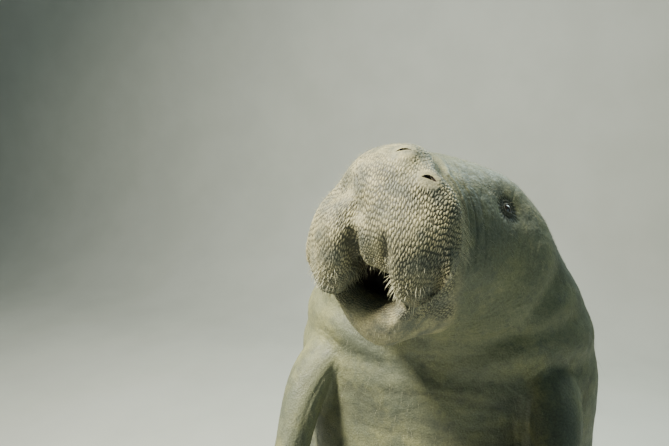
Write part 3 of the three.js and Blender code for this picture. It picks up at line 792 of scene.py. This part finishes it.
def folds(place, ring):
    """Height of the folds and wrinkles, in millimetres, and how deep in a crease each vertex lies, which the
    hide paints as shade.
    """
    x, y, z = place.T
    limb = (ring >= FLIPPER_PLACE).astype(float)
    behind = behind_muzzle(y, z)
    regions = {
        "face": smooth((behind - 4) / 30) * (1 - smooth((y - 420) / 160)) * (1 - limb),
        "trunk": smooth((y - 300) / 200) * (1 - limb),
        "limb": limb,
    }
    wander = 3 * noise(place, 34)
    upper = smooth((z + 100) / 40) * (1 - limb)
    height = 0 * x
    crease = 0 * x
    for offset, depth, width in NECKLACE:
        groove = line(behind - offset + wander, width) * upper
        height -= depth * groove
        crease += depth * groove / 3
    cleft = smooth((-28 - z) / 24) * smooth((z + 122) / 16) * smooth((75 - y) / 45)
    groove = line(np.abs(x - LIP_TWIST) - 23 + 0.4 * wander, 4.5) * cleft
    height -= 3.2 * groove
    crease += 0.5 * groove
    for where, size, stretch, depth, sharp in WRINKLES:
        net = creases(place * stretch, size, sharp) * regions[where]
        height -= depth * net
        crease += 0.3 * depth * net
    height += (
        2.5 * noise(place, 150) * regions["trunk"] + 0.6 * noise(place, 42) * limb
        + 0.4 * noise(place, 15) * regions["face"])
    height += 0.25 * noise(place, 4) * smooth((1000 - y) / 500)
    return height, crease


BUMPS_AROUND = 176  # columns of bumps round the mouth
BUMPS_OUT = 160  # rows of bumps before their pattern comes again
SHORT_BUMP, LONG_BUMP = 3.5, 7.6
BUMP_LAST_RING = 12
TABLE_STEP = 0.1  # of the ring place
TABLE_ANGLES = 180


def bump_rows():
    """Rows of bumps crossed on the way out from the lips, on a table of ring places and angles."""
    r = np.arange(1, BUMP_LAST_RING + 0.01, TABLE_STEP)
    angle = np.linspace(0, 2 * math.pi, TABLE_ANGLES + 1)
    points = straight(r[:, None], angle[None, :])
    steps = np.linalg.norm(np.diff(points, axis=0), axis=-1)
    out = np.cumsum(steps, 0)
    length = SHORT_BUMP + (LONG_BUMP - SHORT_BUMP) * smooth((out - 75) / 45)
    return r, np.vstack([0 * steps[:1], np.cumsum(steps / length, 0)])


def lattice_place(ring, angle):
    """Each vertex's place in the lattice of bumps: rows out from the lips, and columns around."""
    r, table = bump_rows()
    turn = np.mod(angle, 2 * math.pi) / (2 * math.pi)
    row_at = (ring - r[0]) / TABLE_STEP
    column_at = turn * TABLE_ANGLES
    i = np.minimum(row_at.astype(int), len(r) - 2)
    j = np.minimum(column_at.astype(int), TABLE_ANGLES - 1)
    u, v = row_at - i, column_at - j
    near = table[i, j] * (1 - u) + table[i + 1, j] * u
    far = table[i, j + 1] * (1 - u) + table[i + 1, j + 1] * u
    return near * (1 - v) + far * v, turn * BUMPS_AROUND


def bumps_of_muzzle(ring, angle):
    """The bumps that cover the muzzle in rows, long above and round low down.

    Gives each vertex 0 between bumps to 1 on top of one, and the number of the vertex nearest to each top."""
    down, around = lattice_place(ring, angle)
    jitter = (RANDOM.random((BUMPS_OUT, BUMPS_AROUND, 2)) - 0.5) * 0.72
    nearest = np.full(len(ring), 9.0)
    second = nearest.copy()
    owner = np.zeros(len(ring), int)
    for step_down, step_around in np.ndindex(3, 3):
        row = np.floor(down).astype(int) + step_down - 1
        shift = 0.5 * (row % 2)
        column = np.floor(around - shift).astype(int) + step_around - 1
        offset = jitter[row % BUMPS_OUT, column % BUMPS_AROUND]
        distance = np.hypot(row + 0.5 + offset[:, 0] - down, column + shift + 0.5 + offset[:, 1] - around)
        second = np.minimum(second, np.maximum(nearest, distance))
        owner = np.where(distance < nearest, row * BUMPS_AROUND + column % BUMPS_AROUND, owner)
        nearest = np.minimum(nearest, distance)
    order = np.lexsort((nearest, owner))
    tops = order[np.unique(owner[order], return_index=True)[1]]
    return smooth((second - nearest) / 0.62), tops


def raise_bumps(skin, height, crease):
    """Adds the muzzle's bumps to the heights, and painted shade between them to the creases. Returns the
    vertices at their tops.
    """
    front = np.flatnonzero(skin.muzzle > 0.01)
    on_muzzle = skin.muzzle[front]
    bumps, tops = bumps_of_muzzle(skin.ring[front], skin.angle[front])
    place = skin.straight[front]
    up = place[:, 2]
    size = 1.25 - 0.5 * smooth((up - 15) / 45)
    size *= 0.75 + 0.35 * noise(place, 26)
    size *= 1 - 0.55 * smooth((-up - 138) / 14)  # smaller on the chin
    for spot in NOSTRILS.values():
        away = np.linalg.norm(skin.points[front] - bend(straight(*nostril_place(spot))), axis=1)
        size *= smooth((away - 9) / 9)
        height[front] += 0.8 * line(away - 13, 5)
    height[front] += size * (bumps - 0.6) * on_muzzle
    # Painted shade between the bumps.
    crease[front] += (1 - bumps) * on_muzzle * np.minimum(size, 1)
    return front[tops]


EYE_OPENING = (6.8, 4.4)  # half length and half width
EYE_REACH = 24  # from an eye's middle to the border of its hole
NOSTRIL_REACH = 15
NOSTRIL_BOW = 2.5
LID_RADIUS = 12.1  # nothing but the lids' rims lies closer to an eye's centre


def unwrap_box(k, low, high):
    """A box on the unwrap, for an opening of the animal's left (0) or right (1)."""
    return (0.25 * k, low, 0.25 * k + 0.24, high)


def cut_openings(skin, face, shoulders):
    """Opens the eyes and nostrils and grows the flippers. Returns the vertices round each opening."""
    rims = {}
    for k, (name, side) in enumerate(SIDES.items()):
        rims["eye_" + name] = opening(
            skin, shoulders, eye_places[side], EYE_REACH, EYE_OPENING, math.pi / 2, unwrap_box(k, 0.8, 0.89))
        slit = NOSTRILS[name]
        rims["nostril_" + name] = opening(
            skin, face, nostril_place(slit), NOSTRIL_REACH, (slit["half"], slit["width"]), slit["turn"],
            unwrap_box(k, 0.9, 0.99), NOSTRIL_BOW)
        flipper_skin(skin, shoulders, side, (0.5 + 0.25 * k, 0.8, 0.74 + 0.25 * k, 0.99))
    return rims


def finer_shape(skin):
    """Moves the skin out and in by its folds, wrinkles and bumps."""
    normals = skin.normals()
    skin.muzzle = smooth((20 - behind_muzzle(skin.straight[:, 1], skin.straight[:, 2])) / 42)
    skin.muzzle *= smooth((skin.ring - 1.1) / 0.6) * (skin.ring < BUMP_LAST_RING)
    height, crease = folds(skin.straight, skin.ring)
    eye_height, eye_crease = eye_wrinkles(skin.points)
    height += eye_height
    crease += eye_crease
    skin.tops = raise_bumps(skin, height, crease)
    outside = smooth((skin.ring - 1.1) / 0.8)
    skin.crease = crease * outside
    skin.points += normals * (height * outside)[:, None]
    for centre in eye_centres.values():
        away = skin.points - centre
        distance = np.linalg.norm(away, axis=1)
        near = distance < LID_RADIUS
        skin.points[near] = centre + away[near] * (LID_RADIUS / distance[near])[:, None]


def line_openings(skin, rims):
    """Adds the rims of the lids and the walls of the nostrils."""
    normals = skin.normals()
    for k, (name, side) in enumerate(SIDES.items()):
        eyelids(skin, side, rims["eye_" + name], unwrap_box(k, 0.89, 0.9))
        rim = rims["nostril_" + name]
        normal = normals[rim].mean(0)
        nostril_walls(skin, rim, normal / np.linalg.norm(normal), unwrap_box(k, 0.99, 1))


def build_skin():
    """The whole skin, from its grid to its bumps, and what each vertex says to the hide's colours."""
    skin = Skin()
    parts = skin_grid(skin)
    rims = cut_openings(skin, *parts[:2])
    for part in parts:
        skin.join(part["numbers"], part["box"], part["kept"])
    lips = smooth((skin.ring - 1.2) / 0.6) * (1 - smooth((skin.ring - 6.5) / 1.5))
    skin.relaxed(0.15 + 0.85 * lips, 12)
    finer_shape(skin)
    line_openings(skin, rims)
    # The lids' rims and nostril walls get painted shade.
    extra = len(skin.points) - len(skin.crease)
    skin.crease = np.concatenate([skin.crease, np.full(extra, 0.8)])
    skin.muzzle = np.concatenate([skin.muzzle, np.zeros(extra)])
    # Painted shade: 1 inside the mouth, the nostrils and the lids' rims, fading out across the lips' inner
    # edge.
    skin.inside = np.where(skin.ring == INSIDE, 1, 1 - smooth((skin.ring - 1.2) / 1.4))
    return skin


def mesh_object(name, points, faces, uv=None, attributes=None):
    """A smooth mesh from points in metres and arrays of faces, each array with one number of corners."""
    mesh = bpy.data.meshes.new(name)
    mesh.vertices.add(len(points))
    mesh.vertices.foreach_set("co", np.asarray(points, np.float32).ravel())
    corners = np.concatenate([f.ravel() for f in faces])
    sizes = np.concatenate([np.full(len(f), f.shape[1]) for f in faces])
    mesh.loops.add(len(corners))
    mesh.loops.foreach_set("vertex_index", corners.astype(np.int32))
    mesh.polygons.add(len(sizes))
    starts = np.concatenate([[0], np.cumsum(sizes)[:-1]])
    mesh.polygons.foreach_set("loop_start", starts.astype(np.int32))
    mesh.polygons.foreach_set("use_smooth", np.ones(len(sizes), bool))
    mesh.update(calc_edges=True)
    if uv is not None:
        layer = mesh.uv_layers.new(name="OFBake")
        corner_uv = np.concatenate([u.reshape(-1, 2) for u in uv])
        layer.uv.foreach_set("vector", corner_uv.astype(np.float32).ravel())
    for key, values in (attributes or {}).items():
        mesh.attributes.new(key, "FLOAT", "POINT").data.foreach_set("value", np.asarray(values, np.float32))
    mesh.validate()
    made = bpy.data.objects.new(name, mesh)
    bpy.context.scene.collection.objects.link(made)
    return made


FLESH = ("muzzle", "head", "neck", "torso", "tail_stock", "tail_paddle", "flipper_left", "flipper_right")

skin = build_skin()
# The crease and inside attributes carry the hide's painted shade.
skin_piece = mesh_object(
    "skin", in_place(skin.points), [f for f, _ in skin.faces], [u for _, u in skin.faces],
    {"crease": skin.crease, "muzzle": skin.muzzle, "inside": skin.inside})
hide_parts(*FLESH)
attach(skin_piece, "root")


def dome(name, middle, direction, size, bulge=0.0, rows=24, columns=48):
    """A closed egg-shaped piece, with z out of the skin and an extra bulge at its outer pole."""
    polar_angle = np.linspace(0, math.pi, rows + 2)[1:-1, None]
    turn = np.arange(columns)[None, :] * 2 * math.pi / columns
    unit = np.stack([
        np.sin(polar_angle) * np.cos(turn), np.sin(polar_angle) * np.sin(turn),
        np.cos(polar_angle) + 0 * turn], -1).reshape(-1, 3)
    unit = np.vstack([unit, [[0, 0, 1], [0, 0, -1]]])
    local = unit * np.array(size)
    local[:, 2] += bulge * np.exp(-((1 - unit[:, 2]) / 0.12))
    points = middle + local @ turned_towards(direction)
    ids = np.arange(rows * columns).reshape(rows, columns)
    after = np.roll(ids, -1, 1)
    quads = np.stack([ids[:-1], ids[1:], after[1:], after[:-1]], -1).reshape(-1, 4)
    top = np.stack([ids[0], after[0], 0 * ids[0] + rows * columns], -1)
    bottom = np.stack([after[-1], ids[-1], 0 * ids[0] + rows * columns + 1], -1)
    return mesh_object(name, in_place(points), [quads, top, bottom], attributes={"outwards": unit[:, 2]})


CORNEA = 0.7  # how far the front of an eye bulges
eyes, nails = [], []
for name, side in SIDES.items():
    centre = eye_centres[side]
    outer = bend(straight(*eye_places[side], 10)) - centre
    eye = dome("eyeball_" + name, centre, outer, [EYE["radius"]] * 3, bulge=CORNEA, rows=40, columns=64)
    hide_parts("eye_" + name)
    eyes.append(eye)
    for k, (spot, outer) in enumerate(nails_near(side)):
        nail = dome(f"claw_{name}_{k + 1}", spot, outer, NAIL_SIZE)
        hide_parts(f"nail_{name}_{k + 1}")
        nails.append(nail)
for piece in eyes + nails:
    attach(piece, "root")


# Hairs and bristles: closed tapered tubes of three sides, rooted on vertices of the skin

skin_normals = skin.normals()
skin_back = frame_at(np.clip(skin.straight[:, 1], 0, LENGTH))[1]
DOWN = np.array([0, 0, -1.0])
HAIR_PATCH = 0.003  # width of a hair's patch on the skin's unwrap
# Rings of a hair: share of its length, and of its radius
HAIR_RINGS = [(-0.06, 1), (0.3, 0.85), (0.66, 0.6), (1, 0.2)]
HAIR_CORNERS = 3
# Hairs of each piece: where they grow, spacing, shares of their direction out, back and down, length, radius,
# and then droop and spread of their directions where these aren't the usual ones
HAIRS = {
    "bristles": [
        ("lobes", 8, (0.8, -0.15, 0.6), 8, 0.4, 0.2),
        ("pads", 13, (0.8, 0, 0.6), 6, 0.26, 0.2),
        ("chin", 11, (0.8, 0, 0.6), 5, 0.2, 0.2),
    ],
    "hairs_head": [
        ("low", 9, (0.7, 0.2, 0.5), 4, 0.11),
        ("upper", 8, (0.7, 0.5, 0.2), 4.5, 0.1),
        ("upper right", 7, (0.9, 0.2, -0.1), 9, 0.11),
        ("left edge", 5, (0.45, 0.6, 0.55), 15, 0.12, 0.5, 0.12),
        ("other edge", 6, (0.7, 0.5, 0.1), 8, 0.11),
        ("forehead", 5, (0.6, 0.8, 0), 6.5, 0.1),
        ("cheeks", 14, (0.5, 0.8, 0.3), 9, 0.09),
    ],
    "hairs_body": [
        ("body", 34, (0.4, 0.9, 0), 20, 0.09),
        ("flippers", 20, (0.4, 0, 0.9), 10, 0.09),
    ],
}


def scattered(wanted, spacing):
    """A random choice among the wanted vertices, about one in each cube of the spacing's size."""
    shuffled = RANDOM.permutation(np.flatnonzero(wanted))
    cubes = np.floor(skin.points[shuffled] / spacing).astype(int)
    return shuffled[np.unique(cubes, axis=0, return_index=True)[1]]


def grown_hairs(roots, direction, length, radius, droop=0.35, spread=0.16):
    """Tubes for one kind of hair, grown from its roots."""
    count = len(roots)
    out, back, down = direction
    way = skin_normals[roots] * out + skin_back[roots] * back + DOWN * down
    way += RANDOM.normal(size=(count, 3)) * spread
    way /= np.linalg.norm(way, axis=1, keepdims=True)
    length = (length * (0.55 + 0.9 * RANDOM.random(count)))[:, None]
    across = np.cross(way, DOWN + 0.1)
    across /= np.linalg.norm(across, axis=1, keepdims=True)
    over = np.cross(way, across)
    rings = []
    for share, width in HAIR_RINGS:
        middle = skin.points[roots] + length * (way * share + DOWN * droop * max(share, 0) ** 2)
        for corner in range(HAIR_CORNERS):
            turn = corner * 2 * math.pi / HAIR_CORNERS
            rings.append(middle + radius * width * (across * math.cos(turn) + over * math.sin(turn)))
    return roots, np.stack(rings, 1)


def hair_piece(name, kinds):
    """One mesh from several kinds of hairs."""
    roots = np.concatenate([kind[0] for kind in kinds])
    points = np.concatenate([kind[1] for kind in kinds])
    ids = np.arange(len(HAIR_RINGS) * HAIR_CORNERS).reshape(-1, HAIR_CORNERS)
    after = np.roll(ids, -1, 1)
    sides = np.stack([ids[:-1], after[:-1], after[1:], ids[1:]], -1).reshape(-1, 4)
    ends = np.stack([ids[0][::-1], ids[-1]])
    first = np.arange(len(roots))[:, None, None] * ids.size
    faces = [(first + sides).reshape(-1, 4), (first + ends).reshape(-1, 3)]
    k = np.arange(ids.size)
    patch = np.stack([k % 3 / 3 - 1 / 3, k // 3 / 3 - 0.5], -1) * HAIR_PATCH
    uv = (skin.uv[roots][:, None, :] + patch).reshape(-1, 2)
    made = mesh_object(name, in_place(points.reshape(-1, 3)), faces, [uv[f] for f in faces])
    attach(made, "root")
    return made


def places_of_hairs():
    """The vertices of the skin that each kind of hair may grow on."""
    x, y, z = skin.straight.T
    behind = behind_muzzle(y, z)
    outside = (skin.ring > 3) & (skin.ring < FLIPPER_PLACE)
    on_muzzle = skin.muzzle > 0.5
    tops = np.zeros(len(x), bool)
    tops[skin.tops] = True
    lip = np.cos(skin.angle) > -0.25
    low = tops & (z < -30) & on_muzzle & lip
    upper = tops & (z >= -30) & on_muzzle
    edge = outside & (behind > -34) & (behind < 6) & (z > -60)
    return {
        "lobes": tops & (z < -92) & (skin.ring < 5) & lip,
        "pads": low & (z < -70),
        "chin": tops & on_muzzle & ~lip & (skin.ring < 8),
        "low": low,
        "upper": upper,
        "upper right": upper & (x < -30),
        "left edge": edge & (x > 20),
        "other edge": edge & (x <= 20),
        "forehead": outside & (behind >= 6) & (y < 330) & (z > 25),
        "cheeks": outside & (behind >= 0) & (y < 330) & (z <= 40),
        "body": outside & (y >= 330) & (y < 2600),
        "flippers": skin.ring >= FLIPPER_PLACE + 1.5,
    }


hair_places = places_of_hairs()
hair_pieces = []
for name, kinds in HAIRS.items():
    grown = [grown_hairs(scattered(hair_places[place], spacing), *shape) for place, spacing, *shape in kinds]
    hair_pieces.append(hair_piece(name, grown))


# Materials

class Shading:
    """A material's nodes, made and joined in short calls."""

    def __init__(self, name):
        self.material = bpy.data.materials.new(name)
        self.material.use_nodes = True
        self.tree = self.material.node_tree
        self.surface = self.tree.nodes["Principled BSDF"]

    def node(self, kind, settings=None, **inputs):
        made = self.tree.nodes.new("ShaderNode" + kind)
        for key, value in (settings or {}).items():
            setattr(made, key, value)
        for key, value in inputs.items():
            self.put(made, key.replace("_", " "), value)
        return made

    def put(self, node, key, value):
        socket = node.inputs[int(key)] if key.isdigit() else node.inputs[key]
        if isinstance(value, bpy.types.NodeSocket):
            self.tree.links.new(value, socket)
        else:
            socket.default_value = value

    def where(self):
        return self.node("TexCoord").outputs["Object"]

    def read(self, name):
        return self.node("Attribute", {"attribute_name": name}).outputs["Fac"]

    def noise(self, scale, detail=4.0, roughness=0.55, vector=None):
        made = self.node(
            "TexNoise", Vector=vector or self.where(), Scale=scale, Detail=detail, Roughness=roughness)
        return made.outputs["Fac"]

    def cells(self, scale):
        return self.node("TexVoronoi", Vector=self.where(), Scale=scale).outputs["Distance"]

    def spread(self, value, low, high, to_low=0.0, to_high=1.0):
        made = self.node("MapRange", {"interpolation_type": "SMOOTHSTEP"}, Value=value)
        for key, number in (("From Min", low), ("From Max", high), ("To Min", to_low), ("To Max", to_high)):
            made.inputs[key].default_value = number
        return made.outputs["Result"]

    def mix(self, share, first, second, blend="MIX"):
        made = self.node("Mix", {"data_type": "RGBA", "blend_type": blend})
        self.put(made, "0", share)
        self.put(made, "6", first)
        self.put(made, "7", second)
        return made.outputs[2]

    def maths(self, operation, *values):
        made = self.node("Math", {"operation": operation})
        for k, value in enumerate(values):
            self.put(made, str(k), value)
        return made.outputs["Value"]

    def bump(self, height, distance, strength=1.0, normal=None):
        made = self.node("Bump", Height=height, Distance=distance, Strength=strength)
        if normal is not None:
            self.put(made, "Normal", normal)
        return made.outputs["Normal"]

    def finish(self, **inputs):
        for key, value in inputs.items():
            self.put(self.surface, key.replace("_", " "), value)
        return self.material


def colour(red, green, blue):
    return (red, green, blue, 1.0)


def hide_colour(s):
    """The hide's mottling, from where a point is. The hairs carry it too."""
    patches = s.spread(s.noise(5, 5, 0.6), 0.38, 0.66)
    grey = s.mix(patches, colour(0.112, 0.126, 0.09), colour(0.20, 0.208, 0.122))
    film = s.spread(s.noise(17, 6, 0.65), 0.45, 0.75, 0, 0.6)
    grey = s.mix(film, grey, colour(0.29, 0.285, 0.13))
    blotches = s.spread(s.noise(70, 5, 0.6), 0.5, 0.72, 0, 0.5)
    return s.mix(blotches, grey, colour(0.085, 0.097, 0.08))


def hide_material():
    s = Shading("hide")
    crease, muzzle, inside = s.read("crease"), s.read("muzzle"), s.read("inside")
    grey = hide_colour(s)
    mottled = s.spread(s.noise(38, 5, 0.6), 0.32, 0.68)
    face = s.mix(mottled, colour(0.19, 0.195, 0.145), colour(0.46, 0.415, 0.235))
    grey = s.mix(muzzle, grey, face)
    grain = s.spread(s.noise(420, 3, 0.6), 0.3, 0.7, 0.76, 1.14)
    grains = s.node("CombineColor", Red=grain, Green=grain, Blue=grain).outputs["Color"]
    grey = s.mix(1.0, grey, grains, "MULTIPLY")
    scars = s.spread(s.cells(46), 0.0, 0.075, 0.45, 0.0)
    scars = s.maths("MULTIPLY", scars, s.spread(s.noise(7), 0.52, 0.62))
    grey = s.mix(scars, grey, colour(0.38, 0.38, 0.28))
    # Painted shade, with some of the skin's own darker tone: darker in the folds and wrinkles, between the
    # muzzle's bumps, round the eyes, and on the lids' rims and nostril walls.
    crease_shade = s.spread(crease, 0.1, 0.85, 0, 0.86)
    grey = s.mix(crease_shade, grey, colour(0.045, 0.046, 0.036))
    # Painted shade: nearly black inside the mouth, along the lips' inner edge, in the nostrils and on the
    # lids' rims.
    grey = s.mix(inside, grey, colour(0.03, 0.02, 0.018))
    rough = s.spread(s.noise(60, 4), 0.3, 0.7, 0.5, 0.68)
    pebbles = s.bump(s.cells(330), 0.0007, 0.6)
    pores = s.bump(s.noise(900, 3, 0.6), 0.0004, 0.6, pebbles)
    return s.finish(Base_Color=grey, Roughness=rough, Normal=pores, Specular_IOR_Level=0.35)


def hair_material():
    s = Shading("pale_hair")
    streaks = s.spread(s.noise(160, 3), 0.3, 0.7, 0.3, 0.8)
    pale = s.mix(streaks, hide_colour(s), colour(0.66, 0.63, 0.43))
    return s.finish(Base_Color=pale, Roughness=s.spread(s.noise(80), 0.3, 0.7, 0.4, 0.55))


def eye_material():
    s = Shading("eyeball")
    outwards = s.read("outwards")
    streaks = s.noise(900, 3)
    iris = s.mix(streaks, colour(0.010, 0.007, 0.005), colour(0.024, 0.016, 0.010))
    white = s.mix(s.spread(outwards, 0.60, 0.72), colour(0.045, 0.038, 0.032), iris)
    ball = s.mix(s.spread(outwards, 0.93, 0.95), white, colour(0.004, 0.004, 0.004))
    wet = s.spread(s.noise(40), 0.2, 0.8, 0.06, 0.12)
    return s.finish(Base_Color=ball, Roughness=wet, Coat_Weight=1.0, Coat_Roughness=0.03)


def nail_material():
    s = Shading("nail_horn")
    bands = s.noise(240, 4, 0.5)
    horn = s.mix(s.spread(bands, 0.3, 0.7), colour(0.36, 0.31, 0.22), colour(0.58, 0.53, 0.41))
    return s.finish(
        Base_Color=horn, Roughness=s.spread(bands, 0.3, 0.7, 0.3, 0.45), Normal=s.bump(bands, 0.0006, 0.5))


def base_material():
    s = Shading("lacquered_base")
    cloud = s.noise(9, 5)
    paint = s.mix(s.spread(cloud, 0.3, 0.7), colour(0.035, 0.036, 0.038), colour(0.05, 0.05, 0.053))
    dust = s.spread(s.noise(60, 6, 0.7), 0.5, 0.8, 0, 0.25)
    paint = s.mix(dust, paint, colour(0.12, 0.12, 0.115))
    rough = s.spread(s.noise(30, 5), 0.3, 0.7, 0.32, 0.46)
    return s.finish(Base_Color=paint, Roughness=rough, Normal=s.bump(s.noise(700, 2), 0.0003, 0.3))


def rod_material():
    s = Shading("brushed_steel")
    stretched = s.node("Mapping", Vector=s.where())
    stretched.inputs["Scale"].default_value = (1, 1, 0.04)
    brushing = s.noise(900, 3, vector=stretched.outputs["Vector"])
    steel = s.mix(s.spread(brushing, 0.3, 0.7), colour(0.16, 0.16, 0.165), colour(0.24, 0.24, 0.245))
    return s.finish(
        Base_Color=steel, Metallic=0.85, Roughness=s.spread(brushing, 0.3, 0.7, 0.3, 0.42),
        Normal=s.bump(brushing, 0.0002, 0.4))


def paint_over(obj, material):
    """Gives an object one material in all its slots."""
    if not obj.material_slots:
        obj.data.materials.append(material)
    for slot in obj.material_slots:
        slot.material = material


for material, pieces in (
    (hide_material(), [skin_piece]),
    (hair_material(), hair_pieces),
    (eye_material(), eyes),
    (nail_material(), nails),
    (base_material(), [nodes["stand_base"]]),
    (rod_material(), [nodes["stand_rod_front"], nodes["stand_rod_rear"]]),
):
    for piece in pieces:
        paint_over(piece, material)


# Floor, light and camera

CAMERA_PLACE = (131.007, -547.647, 56.699)
CAMERA_TURN = 17.421  # degrees from straight back, towards the animal's right
CAMERA_DOWN = 9.0
PHOTO_WIDTH = 669  # pixels
FOCAL = 488.75  # pixels
SENSOR = 36  # millimetres
# The floor and the wall, in metres
FLOOR_FRONT, FLOOR_BACK, FLOOR_HALF = -9, 4.2, 14
WALL_CURVE, WALL_TOP = 1.8, 9.0
# Softboxes: name, place, target, size, watts and tint
SOFTBOXES = [
    ("key", (-2.0, -1.45, 5.1), (0, -0.4, 1.9), (0.9, 0.9), 620, (1.0, 0.96, 0.80)),
    ("fill", (3.0, -1.8, 2.0), (0, -0.3, 1.8), (2.5, 2.5), 12, (0.60, 0.90, 1.0)),
    ("rim", (1.4, 2.6, 4.2), (0, 0, 1.6), (2.0, 2.0), 110, (0.78, 1.0, 0.95)),
    ("wall", (0, 2.0, 6.5), (0, 5.5, 2.0), (5.0, 2.0), 90, (0.95, 1.0, 0.97)),
]


def floor_and_wall():
    """A pale floor that curves up into a wall behind the animal."""
    profile = [(FLOOR_FRONT, 0), (FLOOR_BACK, 0)]
    for a in np.linspace(0.1, math.pi / 2, 14):
        profile.append((FLOOR_BACK + WALL_CURVE * math.sin(a), WALL_CURVE - WALL_CURVE * math.cos(a)))
    profile.append((FLOOR_BACK + WALL_CURVE, WALL_TOP))
    points = [(x, y, z) for y, z in profile for x in (-FLOOR_HALF, FLOOR_HALF)]
    rows = np.arange(len(profile) - 1) * 2
    quads = np.stack([rows, rows + 1, rows + 3, rows + 2], -1)
    made = mesh_object("floor", points, [quads])
    s = Shading("pale_floor")
    tone = s.mix(s.spread(s.noise(1.5, 3), 0.3, 0.7), colour(0.60, 0.62, 0.58), colour(0.64, 0.66, 0.62))
    paint_over(made, s.finish(Base_Color=tone, Roughness=0.85))


def softbox(name, place, target, size, watts, tint):
    """An area light that faces its target."""
    light = bpy.data.objects.new(name, bpy.data.lights.new(name, "AREA"))
    light.data.shape = "RECTANGLE"
    light.data.size, light.data.size_y = size
    light.data.energy = watts
    light.data.color = tint
    light.location = place
    light.rotation_mode = "QUATERNION"
    light.rotation_quaternion = (Vector(target) - Vector(place)).to_track_quat("-Z", "Y")
    bpy.context.scene.collection.objects.link(light)


def photo_camera():
    """The camera, placed and turned as the photo's was."""
    turn, down = math.radians(CAMERA_TURN), math.radians(CAMERA_DOWN)
    way = Vector((-math.sin(turn) * math.cos(down), math.cos(turn) * math.cos(down), -math.sin(down)))
    camera = bpy.data.objects.new("camera", bpy.data.cameras.new("camera"))
    camera.data.sensor_width = SENSOR
    camera.data.lens = FOCAL / PHOTO_WIDTH * SENSOR
    camera.data.clip_start = 0.02
    camera.location = in_place(CAMERA_PLACE)
    camera.rotation_mode = "QUATERNION"
    camera.rotation_quaternion = way.to_track_quat("-Z", "Y")
    bpy.context.scene.collection.objects.link(camera)
    bpy.context.scene.camera = camera


def dim_world():
    """A weak green-blue light from all round."""
    world = bpy.data.worlds.new("studio")
    world.use_nodes = True
    background = world.node_tree.nodes["Background"]
    background.inputs["Color"].default_value = colour(0.58, 0.80, 0.76)
    background.inputs["Strength"].default_value = 0.11
    bpy.context.scene.world = world


floor_and_wall()
for settings in SOFTBOXES:
    softbox(*settings)
dim_world()
photo_camera()
